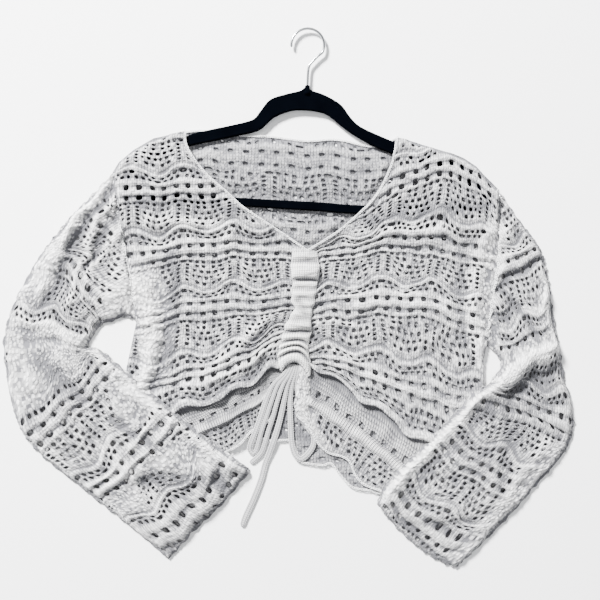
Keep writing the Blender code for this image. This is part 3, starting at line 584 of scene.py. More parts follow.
# painted shade: darker in its fold troughs and a little all over, nearly black down its eyelet
# walls
back_folds = folded(bx, by, FOLDS_BACK)
back = lace_cloth("back_panel", np.stack((bx, by), axis=2), bz, lace(n[:-1], m[:, :-1], 2),
                  outline, back_cotton_painted_shade, seed=11, first=(first_row, first_column), rim=4.0, dip=1.2,
                  rim_shade=1.8, soft=soft_shade(back_folds) + 0.05, lip=0.55)
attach(back, "root")
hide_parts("back")

# --- Hanger -----------------------------------------------------------------------------------
# A slim shoulder hanger with a bar, moulded in plastic and flocked with black velvet. Its bright
# steel hook sits in a small neck on top. It lies inside the top, between the back and the fronts.
HANGER_THICK = 5.0
FRONT_FLOOR = WALL + SEAM     # the hanger and the fronts lie on the back
HANGER_MIDDLE = FRONT_FLOOR + HANGER_THICK / 2
WIRE_RADIUS = 1.4
WIRE_SHOWN = 1.2              # the bright wire looks this much thicker
HOOK_RADIUS = 20.0
HANGER_OUTER = [(-200, 131), (-201, 142), (-199, 157), (-193, 169), (-182, 177), (-166, 184),
                (-148, 187), (-137, 192), (-128, 198), (-115, 203), (-52, 217), (-40, 226),
                (-26, 243), (-6, 250), (11, 254), (16, 257), (18, 260), (22, 260), (24, 255),
                (41, 249), (61, 237), (73, 221), (87, 209), (125, 192), (145, 184), (171, 175),
                (194, 168), (210, 162), (225, 150), (236, 137), (242, 123), (241, 111), (235, 104),
                (83, 104), (35, 107), (-60, 113), (-194, 122)]
HANGER_INNER = [(-187, 131), (-190, 142), (-189, 154), (-183, 166), (-172, 168), (-152, 177),
                (-130, 185), (-60, 200), (-38, 206), (-21, 221), (-1, 229), (17, 230), (38, 227),
                (49, 221), (61, 211), (76, 200), (101, 186), (126, 176), (145, 170), (171, 162),
                (194, 155), (212, 146), (223, 133), (224, 115), (95, 114), (35, 118), (-72, 124)]
HANGER_RIB = [(-196, 126), (-197, 148), (-178, 179), (-126, 194), (126, 185), (194, 162),
              (230, 137), (235, 110), (35, 112), (-196, 126)]
HANGER_REACH = (24.0, 49.0)   # a front starts to fall at the first and lies flat at the second
NECK_RINGS = [(249.0, 4.6), (252.0, 4.2), (257.0, 3.2), (260.0, 3.0), (260.6, 2.2)]  # Y, radius
HOOK_STEM = [(20, 257.4), (20.4, 268), (21, 278), (22.5, 285), (27, 290.5), (33, 296.5)]
HOOK_CENTRE = (20.5, 310.0)
HOOK_TURN = (-28.0, 188.0)    # degrees around the bend
ROUNDING = 2.1                # the flocked edge is nearly a half circle

velvet, tree, shader = finish_of("hanger_velvet", (0.0, 0.0, 0.001), 0.97, sheen=0.006)
shader.inputs["Sheen Roughness"].default_value = 0.45
shader.inputs["Sheen Tint"].default_value = (0.55, 0.6, 0.7, 1.0)
shader.inputs["Specular IOR Level"].default_value = 0.0
shade = node(tree, "ShaderNodeMix", {"Factor": noise(tree, 45.0, 3.0),
             "A": (0.0002, 0.0003, 0.0006, 1), "B": (0.0008, 0.0012, 0.0022, 1)},
             data_type="RGBA")
tree.links.new(shade.outputs["Result"], shader.inputs["Base Color"])
roughened(tree, shader, noise(tree, 1400.0, 3.0), 0.7, 0.0004)


def drawn(curve, points, closed=False):
    """Adds a line of points to a curve."""
    spline = curve.splines.new("POLY")
    spline.points.add(len(points) - 1)
    for point, place in zip(spline.points, points):
        point.co = (*place, 1.0)
    spline.use_cyclic_u = closed


def mesh_from(thing):
    """The finished mesh of a curve's object, which leaves the scene."""
    data = bpy.data.meshes.new_from_object(
        thing.evaluated_get(bpy.context.evaluated_depsgraph_get()))
    bpy.data.objects.remove(thing)
    return data


plate = bpy.data.curves.new("hanger", "CURVE")
plate.dimensions, plate.fill_mode = "2D", "BOTH"
plate.bevel_depth, plate.offset = ROUNDING / 1000, -ROUNDING / 1000
plate.bevel_resolution = 5
plate.extrude = (HANGER_THICK / 2 - ROUNDING) / 1000
for line in (HANGER_OUTER, HANGER_INNER):
    corners = along(line + [line[0]], np.linspace(0, 1, 5 * len(line) + 1))[:-1]
    drawn(plate, metres(np.column_stack((corners, np.zeros(len(corners))))), closed=True)
data = mesh_from(added("shape", plate))
for vertex in data.vertices:
    vertex.co.z += HANGER_MIDDLE / 1000
data.materials.clear()
data.materials.append(velvet)
data.shade_smooth()
data.set_sharp_from_angle(angle=math.radians(60))
hanger = added("hanger", data)
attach(hanger, "root")
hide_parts("hanger_body")

chrome, tree, shader = finish_of("hook_chrome", (0.42, 0.43, 0.44), 0.12, metallic=1.0)
painted_shade_knots_and_wear = node(tree, "ShaderNodeMapRange", {"Value": noise(tree, 300.0, 4.0), "To Min": 0.08,
            "To Max": 0.28})
tree.links.new(painted_shade_knots_and_wear.outputs["Result"], shader.inputs["Roughness"])


def tube_mesh(name, rings):
    """A closed tube through rings of points."""
    count, sides = rings.shape[:2]
    index = np.arange(count * sides).reshape(count, sides)
    faces = np.stack((index[:-1], np.roll(index[:-1], -1, 1), np.roll(index[1:], -1, 1),
                      index[1:]), axis=2).reshape(-1, 4).tolist()
    faces += [index[0, ::-1].tolist(), index[-1].tolist()]
    data = bpy.data.meshes.new(name)
    data.from_pydata(metres(rings.reshape(-1, 3)).tolist(), [], faces)
    return data


def frame_along(line):
    """Which way a line runs at each of its points, and which way is beside it."""
    ahead = unit(np.gradient(line, axis=0))
    return ahead, unit(np.cross([0, 0, 1.0], ahead))


def tube(name, line, radii, sides, look):
    """A round tube along a line of points, closed at both ends."""
    ahead, beside = frame_along(line)
    over = np.cross(ahead, beside)
    angle = (np.arange(sides) * 2 * math.pi / sides)[None, :, None]
    ring = beside[:, None] * np.cos(angle) + over[:, None] * np.sin(angle)
    data = tube_mesh(name, line[:, None] + ring * radii[:, None, None])
    data.materials.append(look)
    data.shade_smooth()
    return added(name, data)


turn = np.radians(np.linspace(*HOOK_TURN, 24))
bend = [(HOOK_CENTRE[0] + HOOK_RADIUS * math.cos(a), HOOK_CENTRE[1] + HOOK_RADIUS * math.sin(a))
        for a in turn]
collar = tube("hanger_neck", np.array([(20.0, y, HANGER_MIDDLE) for y, _ in NECK_RINGS]),
              np.array([radius for _, radius in NECK_RINGS]), 20, velvet)
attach(collar, "root")
wire = along(HOOK_STEM + bend, np.linspace(0, 1, 110))
wire = np.column_stack((wire, np.full(len(wire), HANGER_MIDDLE)))
thin = np.full(len(wire), WIRE_SHOWN * WIRE_RADIUS)
thin[-2:] *= (0.85, 0.45)      # the wire's end is rounded over
hook = tube("hook", wire, thin, 16, chrome)
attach(hook, "root")
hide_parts("hanger_hook")

# --- Fronts -----------------------------------------------------------------------------------
# Two cotton lace panels, joined at the V and under the casing. Their lace repeats four times from
# the shoulder to the hem: rows of large eyelets, fans of small ones beside a ladder, and a wavy
# welt. Below the last welt comes a plain band with one row of eyelets, and the lace hem.
CENTRE_FRONT = [(20, 59), (17, 11), (11, -38), (6, -81)]
SEAM_CENTRE = 1.2             # the left front ends this far from the middle of the seam
CASING_CLEAR = 22.0           # the fronts stay flat this far to each side of the casing's middle
CASING_END = -83.0            # and below here they are free of it
EDGE_BAND = 6.0               # width over which an edge turns down to the layer below
SWELL, SWELL_REACH = 0.9, 26.0    # how far a face rises and sinks, and how soon it changes
CENTRE_LEFT_END = [(2, -92), (-9, -110), (-19, -128), (-26, -148)]
CENTRE_RIGHT_END = [(12, -86), (15, -95), (10, -105), (6, -117), (3, -129), (8, -143)]
HEM_LEFT = [(-188, -192), (-160, -200), (-129, -196), (-111, -199), (-89, -190), (-74, -184),
            (-61, -176), (-49, -162), (-38, -156), (-26, -148)]
HEM_RIGHT = [(8, -143), (21, -155), (31, -173), (45, -187), (62, -192), (72, -199), (78, -214),
             (89, -226), (107, -233), (133, -242), (170, -248), (200, -245), (221, -233)]
# One line for each main row, from the neck down, with a point for each ladder from left to right:
# the shoulders, four rows of large eyelets, the welt, the plain band's eyelets, ridge and hem
NET_LEFT = [
    [(-192, 194), (-131, 201), (-70, 204), (-9, 204), (52, 204)],
    [(-192, 123), (-131, 124), (-70, 129), (-9, 131), (52, 131)],
    [(-189, 40), (-131, 51), (-70, 56), (-9, 54), (52, 54)],
    [(-194, -40), (-131, -22), (-70, -15), (-11, -11), (41, -7)],
    [(-199, -113), (-133, -102), (-70, -82), (-23, -54), (11, -35)],
    [(-192, -154), (-129, -133), (-70, -112), (-28, -88), (-1, -72)],
    [(-172, -172), (-116, -151), (-62, -126), (-28, -106), (1, -92)],
    [(-166, -184), (-111, -162), (-59, -138), (-26, -118), (4, -104)],
    [(-142, -235), (-89, -204), (-50, -173), (-18, -142), (11, -118)],
]
NET_RIGHT = [
    [(-1, 170), (66, 194), (131, 221), (188, 228), (245, 209), (298, 170)],
    [(5, 78), (66, 94), (128, 132), (187, 152), (235, 131), (279, 90)],
    [(-10, 43), (52, 52), (115, 62), (177, 59), (233, 45), (292, 29)],
    [(-16, -28), (45, -18), (109, -12), (170, -17), (228, -38), (285, -56)],
    [(-11, -72), (51, -84), (109, -104), (170, -126), (228, -142), (289, -154)],
    [(9, -68), (57, -100), (113, -138), (170, -178), (228, -209), (285, -233)],
    [(7, -99), (51, -128), (107, -171), (160, -209), (214, -239), (267, -270)],
    [(-1, -111), (44, -139), (99, -179), (149, -218), (200, -249), (255, -279)],
    [(-28, -172), (21, -201), (67, -226), (115, -251), (163, -282), (218, -306)],
]
NET_AT = (-48, 12.5, 72.5, 132.5, 192.5, 216, 230.5, 236, 276)   # the chart row of those lines
# Below the last large eyelets the chart changes: chart row and height of the fabric
BORDER = 192
BORDER_AT = (192, 194, 196, 200, 208, 210, 212, 214, 216, 217, 218, 220, 226, 230, 233, 235, 237,
             239, 241, 243, 268, 272, 276, 280)
BORDER_RELIEF = (-0.6, 0.3, 1.3, 0.0, 0.0, 1.0, 3.2, 4.8, 5.2, 4.4, -0.9, -0.9, -0.6, -0.6, -0.3,
                 1.4, 3.0, 2.6, 0.4, 0.0, 0.0, 1.4, 2.0, 0.5)
BORDER_WAVE_AT = (192, 208, 216, 224, 236, 276)
BORDER_WAVE = (1.5, 3.6, 3.8, 0.6, 0.4, 1.0)
PLAIN_BAND = (218, 244)
FRONT_FIRST_ROW, FRONT_ROWS = -84, 368
FOLDS_LEFT_FRONT = [
    # width, height, points along the crest
    (9.0, -3.0, [(-199, 116), (-160, 117), (-111, 115), (-67, 104)]),
    (9.0, 2.0, [(-170, 92), (-123, 94), (-79, 85)]),
    (13.0, 6.0, [(-187, 13), (-170, -16), (-165, -50), (-171, -84), (-181, -111)]),
    (8.0, -4.6, [(-148, 54), (-140, 29), (-146, -1), (-149, -32), (-148, -56), (-157, -80),
                 (-170, -106)]),
    (8.0, 3.8, [(-28, -28), (-50, -44), (-68, -62), (-93, -84), (-123, -109)]),
    (5.0, -3.2, [(-17, -26), (-35, -41), (-51, -63)]),
    (6.0, 3.8, [(-9, -48), (-28, -62), (-48, -74), (-68, -89), (-99, -101)]),
    (5.0, -3.6, [(-23, -82), (-50, -99), (-79, -112), (-105, -127), (-138, -134)]),
    (4.5, -2.6, [(1, -7), (-16, -5), (-40, -10)]),
    (4.5, -2.2, [(1, 20), (-18, 22), (-35, 18)]),
    (12.0, -3.4, [(-94, -157), (-56, -138)]),
    (2.4, 1.8, [(-183, -9), (-150, -18)]),
    (2.4, 1.8, [(-184, -28), (-150, -37)]),
    (2.4, 2.0, [(-183, -46), (-151, -52)]),
    (2.4, 1.8, [(-183, -65), (-155, -72)]),
    (2.4, 1.6, [(-184, -84), (-162, -90)]),
    (12.0, 2.0, [(-172, 60), (-129, 74), (-79, 72)]),
]
FOLDS_RIGHT_FRONT = [
    # width, height, points along the crest
    (9.0, -3.2, [(94, 93), (121, 101), (157, 106), (194, 110), (233, 112)]),
    (9.0, 2.2, [(72, 72), (116, 83), (182, 88)]),
    (12.0, 2.0, [(72, -1), (131, 4), (200, -9)]),
    (9.0, 3.6, [(240, 78), (226, 29), (222, -26), (233, -77)]),
    (7.0, -2.2, [(209, 60), (204, -1), (209, -56)]),
    (4.5, -3.0, [(23, -7), (45, -4), (72, -9)]),
    (4.5, 2.2, [(33, -28), (52, -26), (79, -33)]),
    (4.5, -3.2, [(21, -44), (45, -49), (77, -59)]),
    (4.0, -2.4, [(26, 20), (48, 22), (67, 18)]),
    (9.0, 2.0, [(48, -56), (90, -84), (133, -112)]),
    (6.5, -3.8, [(39, -80), (32, -99), (31, -121)]),
    (4.5, -2.2, [(48, -100), (74, -120), (109, -139), (135, -156)]),
    (6.0, -3.2, [(13, -172), (38, -187), (67, -201)]),
]
# Where the lace is stretched shut, the face shows only a mossy surface of knots
MOSS_LEFT_FRONT = [
    [(-211, 45), (-172, 45), (-152, 17), (-140, -23), (-140, -60), (-150, -93), (-162, -123),
     (-184, -123), (-185, -87), (-188, -44), (-199, -1)],
]
MOSS_RIGHT_FRONT = [
    [(240, 106), (256, 90), (247, 0), (240, -89), (228, -89), (228, -38), (232, 23), (236, 72)],
    [(6, -74), (24, -77), (28, -105), (27, -135), (48, -182), (33, -190), (11, -154),
     (-1, -129)],
]
ROLLED_EDGE = [(12, -80), (15, -92), (15.5, -105), (15, -120), (14, -134), (20, -148), (30, -163),
               (44, -180)]


def hanger_lift(x, y):
    """How far a front rises where it passes over the hanger."""
    near, far = HANGER_REACH
    return (HANGER_THICK + 2 * SEAM) * ease((far - nearest(x, y, HANGER_RIB)[0]) / (far - near))


def front_height(x, y, folds, edge_distance):
    """Underside of a front: on the back, over the hanger and along the folds."""
    centre = np.interp(-y, [-59, 81], [20, 6])         # the casing's middle at this height
    beside = ease((np.abs(x - centre) - CASING_CLEAR) / CASING_CLEAR)
    free = np.maximum(beside, ease((CASING_END - y) / CASING_CLEAR))
    lift = hanger_lift(x, y)
    rise = lift + np.maximum(folds, 0.0) * free + np.minimum(folds, 0.0) * (1 - ease(lift / 2.0))
    return FRONT_FLOOR + np.maximum(rise, 0.0) * ease(edge_distance / EDGE_BAND)


def front_lace(n, m):
    """The body's lace, with the welt, the plain band and the hem's lace at its lower end."""
    d = beside_ladder(m)
    small = ((n == 198) | (n == 199)) & (d % 6 < 3) | ((n == 203) | (n == 204)) & ((d + 3) % 6 < 3)
    small |= (n == 208) & (d % 6 < 3) | fans(n - 243, d) & (n > 242) & (n < 268)
    large = (np.abs(n - 230) < 1.5) & (np.abs(d % 12 - 5.5) < 2)
    upper = lace(n, m, np.where(n < 20, 4, 3))
    return np.where(n < 194, upper, np.where(large, 2, small * 1))


def mossy(x, y, zones):
    """How mossy the fabric is at each place: 1 well inside a zone, 0 outside."""
    amount = np.zeros(np.shape(x))
    for zone in zones:
        far = nearest(x, y, zone + [zone[0]])[0]
        amount = np.maximum(amount, ease(far / 5.0 + 0.3) * inside(x, y, zone))
    return amount


def moss_of(knots):
    """How far the knots of a face stand out, and how much of it they cover."""
    return 0.12 + 0.16 * knots, 0.5 + 0.5 * knots


def front_panel(name, stands_for, net, outline, seam, folds, zones, first_column, columns, seed):
    n = FRONT_FIRST_ROW + np.arange(FRONT_ROWS + 1)[:, None]
    m = first_column + np.arange(columns + 1)[None, :]
    down = np.interp(n[:, 0], NET_AT, range(len(NET_AT)))
    down = (down + np.minimum(n[:, 0] - NET_AT[0], 0) / REPEAT      # on past the net's ends
            + np.maximum(n[:, 0] - NET_AT[-1], 0) / 40.0)
    places = spread(net, down, m[0] / MOTIF)
    border_wave = np.interp(n, BORDER_WAVE_AT, BORDER_WAVE) * np.cos(2 * math.pi * m / MOTIF)
    wave = np.where(n < BORDER, wave_of(n, m), border_wave)
    places = places - unit(np.gradient(places, axis=0)) * wave[..., None]
    for row, part in ((218, 0.9), (219, 0.6), (220, 0.3)):     # the welt overhangs the plain band
        row -= FRONT_FIRST_ROW
        places[row] += part * (places[216 - FRONT_FIRST_ROW] - places[row])
    x, y = places[..., 0], places[..., 1]
    relief = np.where(n < BORDER, relief_of(n), np.interp(n, BORDER_AT, BORDER_RELIEF))
    edge = nearest(x, y, seam)[0]
    roll = 2.0 * np.exp(-(nearest(x, y, ROLLED_EDGE)[0] / 8.0) ** 4)
    relief = relief * (1 - 0.75 * ease(roll / 3.0)) + roll
    knots = mossy(x, y, zones)
    folds = folded(x, y, folds)
    z = (front_height(x, y, folds, edge) + WALL + 0.4 + relief * ease((edge + 2) / 8)
         + SWELL * uneven(x, y, seed, SWELL_REACH) * ease(edge / 14))
    opened = front_lace(n[:-1], m[:, :-1]) * (knots[:-1, :-1] < 0.2)
    plain = (n > PLAIN_BAND[0]) & (n < PLAIN_BAND[1])
    stands, covered = moss_of(knots)
    # painted shade along fold troughs and painted highlight on ridges; less of it in the plain band
    made = lace_cloth(name, places, z, opened, outline, knit_cotton, seed=seed,
                      first=(FRONT_FIRST_ROW, first_column), moss=np.where(plain, 0.03, stands),
                      knots=np.where(plain, knots, covered), soft=soft_shade(folds) - 0.12 * plain)
    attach(made, "root")
    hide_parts(stands_for)
    return made


centre_left = [(x - SEAM_CENTRE, y) for x, y in CENTRE_FRONT]
side_left = chained(ARMHOLE_LEFT, SIDE_LEFT)
side_right = chained(ARMHOLE_RIGHT, SIDE_RIGHT)
left_front = front_panel(
    "left_front", "front_left", NET_LEFT,
    chained(SHOULDER_LEFT, NECK_LEFT[:-1] + [centre_left[0]], centre_left, CENTRE_LEFT_END,
            HEM_LEFT[::-1], side_left[::-1])[:-1],
    chained(side_left[::-1], SHOULDER_LEFT[:-1]), FOLDS_LEFT_FRONT, MOSS_LEFT_FRONT, -40, 224, 21)
right_front = front_panel(
    "right_front", "front_right", NET_RIGHT,
    chained(NECK_RIGHT, SHOULDER_RIGHT, side_right, HEM_RIGHT[::-1], CENTRE_RIGHT_END[::-1],
            CENTRE_FRONT[::-1])[:-1],
    chained(SHOULDER_RIGHT[1:], side_right), FOLDS_RIGHT_FRONT, MOSS_RIGHT_FRONT, -28, 268, 22)


def strip_faces(rows, columns):
    """The faces of a grid of points."""
    index = np.arange(rows * columns).reshape(rows, columns)
    return np.stack((index[:-1, :-1], index[1:, :-1], index[1:, 1:], index[:-1, 1:]),
                    2).reshape(-1, 4)


# The right front's free edge rolls over to its mossy face where the drawstring pulls it up
ROLL_GRID = (90, 23)
ROLL_DIMPLES = ((14, -112), (15.5, -124))      # where its stitches pull it in
line = along(ROLLED_EDGE, np.linspace(0, 1, ROLL_GRID[0]))
way = unit(np.gradient(line, axis=0))
part = np.linspace(0, 1, ROLL_GRID[0])[:, None]
across = np.linspace(-1, 1, ROLL_GRID[1])[None, :]
half = np.interp(part, (0, 0.08, 0.3, 0.6, 0.85, 1), (5.0, 8.0, 9.2, 8.6, 7.0, 3.0))
half = half * (1 + 0.10 * uneven(40 * part + 0 * across, 9 * across, 51, 12.0))
x = line[:, :1] - way[:, 1:] * half * across
y = line[:, 1:] + way[:, :1] * half * across
crown = 5.4 * (1 - across ** 2) ** 0.6 * np.interp(part, (0, 0.75, 1), (1, 0.9, 0.35))
z = FRONT_FLOOR + 0.6 + crown + 0.5 * uneven(x, y, 52, 9.0) * (1 - across ** 2)
dimples = np.minimum(*(np.hypot(x - at[0], y - at[1]) for at in ROLL_DIMPLES))
dimples = np.exp(-(dimples / 2.0) ** 2)
z = z - 2.0 * dimples
# painted shade: darker in the dimples and towards the roll's sides, lighter along its crown
rolled = turned_down(
    "rolled_edge", metres(np.column_stack((x.ravel(), y.ravel(), z.ravel()))),
    strip_faces(*ROLL_GRID)[:, (0, 3, 2, 1)],
    np.stack(np.broadcast_arrays(6.6 * across, -38.0 * part), axis=2).reshape(-1, 2),
    np.column_stack(((0.9 * dimples + 0.12 * across ** 2 - 0.04).ravel(), np.ones(x.size))),
    knit_cotton, 1.5)
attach(rolled, "root")

# --- Edges and seams --------------------------------------------------------------------------
# The neckline, hem and armholes are finished with a crocheted chain of the same cotton, one link
# after another along the edge. It binds the lace and hides where the panels are linked together.
edging = bpy.data.node_groups.new("chain edging", "GeometryNodeTree")
edging.interface.new_socket("Line", in_out="INPUT", socket_type="NodeSocketGeometry")
for label, value in (("Link length", 0.0034), ("Link width", 0.0026), ("Yarn", 0.0007)):
    edging.interface.new_socket(label, in_out="INPUT",
                                socket_type="NodeSocketFloat").default_value = value
edging.interface.new_socket("Seed", in_out="INPUT", socket_type="NodeSocketInt").default_value = 1
edging.interface.new_socket("Finish", in_out="INPUT", socket_type="NodeSocketMaterial")
edging.interface.new_socket("Chain", in_out="OUTPUT", socket_type="NodeSocketGeometry")
given = edging.nodes.new("NodeGroupInput").outputs
spaced = node(edging, "GeometryNodeResampleCurve", {"Curve": given["Line"],
              "Length": given["Link length"]}, mode="LENGTH")
oval = node(edging, "GeometryNodeCurvePrimitiveCircle", {"Resolution": 9, "Radius": 0.5},
            mode="RADIUS")
span = node(edging, "ShaderNodeCombineXYZ", {
            "X": sums_in(edging)("MULTIPLY", given["Link length"], 1.35),
            "Y": given["Link width"], "Z": 1.0})
oval = node(edging, "GeometryNodeTransform", {"Geometry": oval.outputs["Curve"],
            "Scale": span.outputs["Vector"]})
strand = node(edging, "GeometryNodeCurvePrimitiveCircle", {"Resolution": 5,
              "Radius": given["Yarn"]}, mode="RADIUS")
link = node(edging, "GeometryNodeCurveToMesh", {"Curve": oval.outputs["Geometry"],
            "Profile Curve": strand.outputs["Curve"]})
turned = node(edging, "FunctionNodeAlignRotationToVector", {
              "Vector": node(edging, "GeometryNodeInputTangent").outputs["Tangent"]}, axis="X",
              pivot_axis="Z")
tilt = node(edging, "FunctionNodeRandomValue", {0: (-0.5, -0.25, -0.3), 1: (0.5, 0.25, 0.3),
            "Seed": given["Seed"]}, data_type="FLOAT_VECTOR")
tilted = node(edging, "FunctionNodeRotateRotation", {"Rotation": turned.outputs["Rotation"],
              "Rotate By": tilt.outputs["Value"]}, rotation_space="LOCAL")
links = node(edging, "GeometryNodeInstanceOnPoints", {"Points": spaced.outputs["Curve"],
             "Instance": link.outputs["Mesh"], "Rotation": tilted.outputs["Rotation"]})
solid = node(edging, "GeometryNodeRealizeInstances", {"Geometry": links.outputs["Instances"]})
rounded = node(edging, "GeometryNodeSetShadeSmooth", {"Geometry": solid.outputs["Geometry"]})
finished = node(edging, "GeometryNodeSetMaterial", {"Geometry": rounded.outputs["Geometry"],
                "Material": given["Finish"]})
edging.links.new(finished.outputs["Geometry"], edging.nodes.new("NodeGroupOutput").inputs["Chain"])

yarn_cotton, tree, shader = finish_of("edging_cotton", (0.70, 0.70, 0.70), 0.9, sheen=0.12)
roughened(tree, shader, noise(tree, 900.0, 3.0), 0.6, 0.0004)
CHAIN_LOWEST = 0.0018
CHAIN_SINK = 0.0006           # where the cloth rises quickly, the chain lies this deep in it


def on_cloth(points, cloth, above):
    """Points of a line on top of a piece of cloth, a little above it."""
    tree = BVHTree.FromPolygons([v.co for v in cloth.data.vertices],
                                [tuple(p.vertices) for p in cloth.data.polygons])
    placed = metres(np.column_stack((points, np.full(len(points), 50.0))))
    for spot in placed:
        hit = tree.ray_cast(Vector(spot), Vector((0, 0, -1)))[0]
        if hit is None:
            hit = tree.find_nearest(Vector((spot[0], spot[1], 0.006)))[0]
        spot[2] = max(hit.z + above / 1000, CHAIN_LOWEST)
    even = np.convolve(np.pad(placed[:, 2], 4, mode="edge"), np.ones(9) / 9, mode="valid")
    placed[:, 2] = np.maximum(even, placed[:, 2] - CHAIN_SINK)
    return placed


def chain_along(name, points, cloth, above, seed, length=2.8, width=1.9, yarn=0.45):
    """A crocheted chain on a piece of cloth, along a line."""
    curve = bpy.data.curves.new(name, "CURVE")
    curve.dimensions = "3D"
    drawn(curve, on_cloth(points, cloth, above))
    line = added(name + "_line", curve)
    maker = line.modifiers.new("chain", "NODES")
    maker.node_group = edging
    values = {"Link length": length / 1000, "Link width": width / 1000, "Yarn": yarn / 1000,
              "Seed": seed, "Finish": yarn_cotton}
    for item in edging.interface.items_tree:
        if item.name in values and item.in_out == "INPUT":
            maker[item.identifier] = values[item.name]
    made = added(name, mesh_from(line))
    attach(made, "root")


def fine_line(points, spacing=2.5):
    return along(points, np.linspace(0, 1, max(3, int(run_of(points) / spacing))))


for name, points, cloth, above, seed in (
        ("neck_chain_left", NECK_LEFT, left_front, 0.5, 1),
        ("neck_chain_right", NECK_RIGHT, right_front, 0.5, 2),
        ("neck_chain_back", BACK_NECK, back, 0.8, 3),
        ("hem_chain_left", HEM_LEFT, left_front, 0.4, 4),
        ("hem_chain_right", HEM_RIGHT, right_front, 0.4, 5),
        ("hem_chain_back", BACK_HEM, back, 0.8, 6)):
    chain_along(name, fine_line(points), cloth, above, seed)

# --- Casing -----------------------------------------------------------------------------------
# A plain jersey tape sewn over the centre front, from the V down to the welt. The drawstring
# runs up and down inside it and gathers it into crosswise puffs.
CASING_WALL = 1.5
CASING_FLOOR = 2.0 * WALL + 2.5 * SEAM
CASING_ROWS = [
    # distance down from the V, half width to the left and right, height of the puff
    (0.0, 18, 12, 1.5), (7.0, 19, 14, 2.5), (14.0, 18, 14, 1.2), (19.0, 20, 17, 4.8),
    (28.0, 20, 18, 5.8), (33.0, 19, 17, 4.5), (36.5, 17, 15, 0.6), (41.0, 16, 15, 3.6),
    (47.0, 17, 14, 2.0), (54.0, 17, 15, 4.2), (61.0, 16, 14, 3.4), (67.0, 12, 13, 4.6),
    (72.0, 10, 12, 3.6), (78.0, 13, 12, 4.8), (86.0, 17, 13, 4.2), (93.0, 19, 13, 5.2),
    (98.0, 19, 14, 3.4), (101.0, 20, 15, 0.4), (107.0, 22, 13, 4.8), (110.0, 21, 13, 4.0),
    (113.5, 22, 12, 1.0), (117.5, 24, 13, 5.0), (121.0, 24, 14, 1.2), (125.5, 25, 16, 5.6),
    (129.5, 24, 17, 1.6), (135.0, 24, 19, 6.4), (141.0, 21, 18, 5.0), (144.0, 18, 15, 3.0),
]
CASING_SAG = [(10, -4), (16, -12), (20, -22)]
CASING_GRID = (230, 64)
CASING_STITCH = (0.63 / 2.4, 0.5 / 2.4)    # stitches for a step down and for a step across
GATHERS = ((6.5, 0.12), (9.5, 0.2), (23.0, 0.45), (4.1, 0.1))   # spacing and height

jersey_cotton = cotton("jersey_cotton", (0.84, 0.84, 0.84), depth=0.8, lift=0.0009, fuzz=0.4,
                       uneven_stitches=0.8)


def gathered_tape():
    """The tape as a fine grid, with its puffs, fine gathers and rippled sides."""
    chance = np.random.default_rng(5)
    down = np.array([row[0] for row in CASING_ROWS])
    fine = np.linspace(0, down[-1], CASING_GRID[0])
    rows = np.interp(fine, down, np.arange(len(down)))
    left, right, height = smooth(np.array(CASING_ROWS)[:, 1:], rows).T[..., None]
    fine = fine[:, None]
    centre = along(CENTRE_FRONT, fine[:, 0] / down[-1])
    across = np.linspace(-1, 1, CASING_GRID[1])[None, :]
    ripple = 1.0 + 0.07 * uneven(fine, 0 * fine, 8, 14.0) * np.abs(across)
    x = centre[:, :1] + np.where(across < 0, left, right) * across * ripple
    slant = 3.0 * np.sin(fine / 19.0) * across + 1.2 * across ** 2
    arch = 1.0 + 15.0 * ease((fine - 100.0) / 40.0)
    y = centre[:, 1:2] - arch * (across + 0.12) ** 2 + 0.25 * arch
    gathers = np.zeros_like(x)
    for size, rise in GATHERS:
        phase = chance.uniform(0, 6.3)
        gathers += rise * np.sin((fine + slant * chance.uniform(0.5, 1.6)) * 2 * math.pi / size
                                 + phase + 0.8 * np.sin(across * 3.0 + phase))
    puff = (1.3 * np.maximum(height, 0.3) - 0.6 + gathers) * (1 - across ** 4) ** 0.7
    sag = 2.4 * np.exp(-(nearest(x, y, CASING_SAG)[0] / 5.0) ** 2)
    z = CASING_FLOOR + CASING_WALL + 0.3 + puff - sag
    return x, y, np.maximum(z, CASING_FLOOR + 0.6)


x, y, z = gathered_tape()
steps = np.indices(CASING_GRID).reshape(2, -1)
# painted shade in the tape's hollows and painted highlight on its puffs
shade = np.clip(hollow_of(z, (4, 0.22), (12, 0.16)), -0.3, 0.7)
casing = turned_down(
    "casing_tape", metres(np.column_stack((x.ravel(), y.ravel(), z.ravel()))),
    strip_faces(*CASING_GRID),
    np.column_stack((steps[1] * CASING_STITCH[1], -steps[0] * CASING_STITCH[0])),
    np.column_stack((shade.ravel(), np.zeros(x.size))), jersey_cotton, CASING_WALL)
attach(casing, "root")
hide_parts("casing")

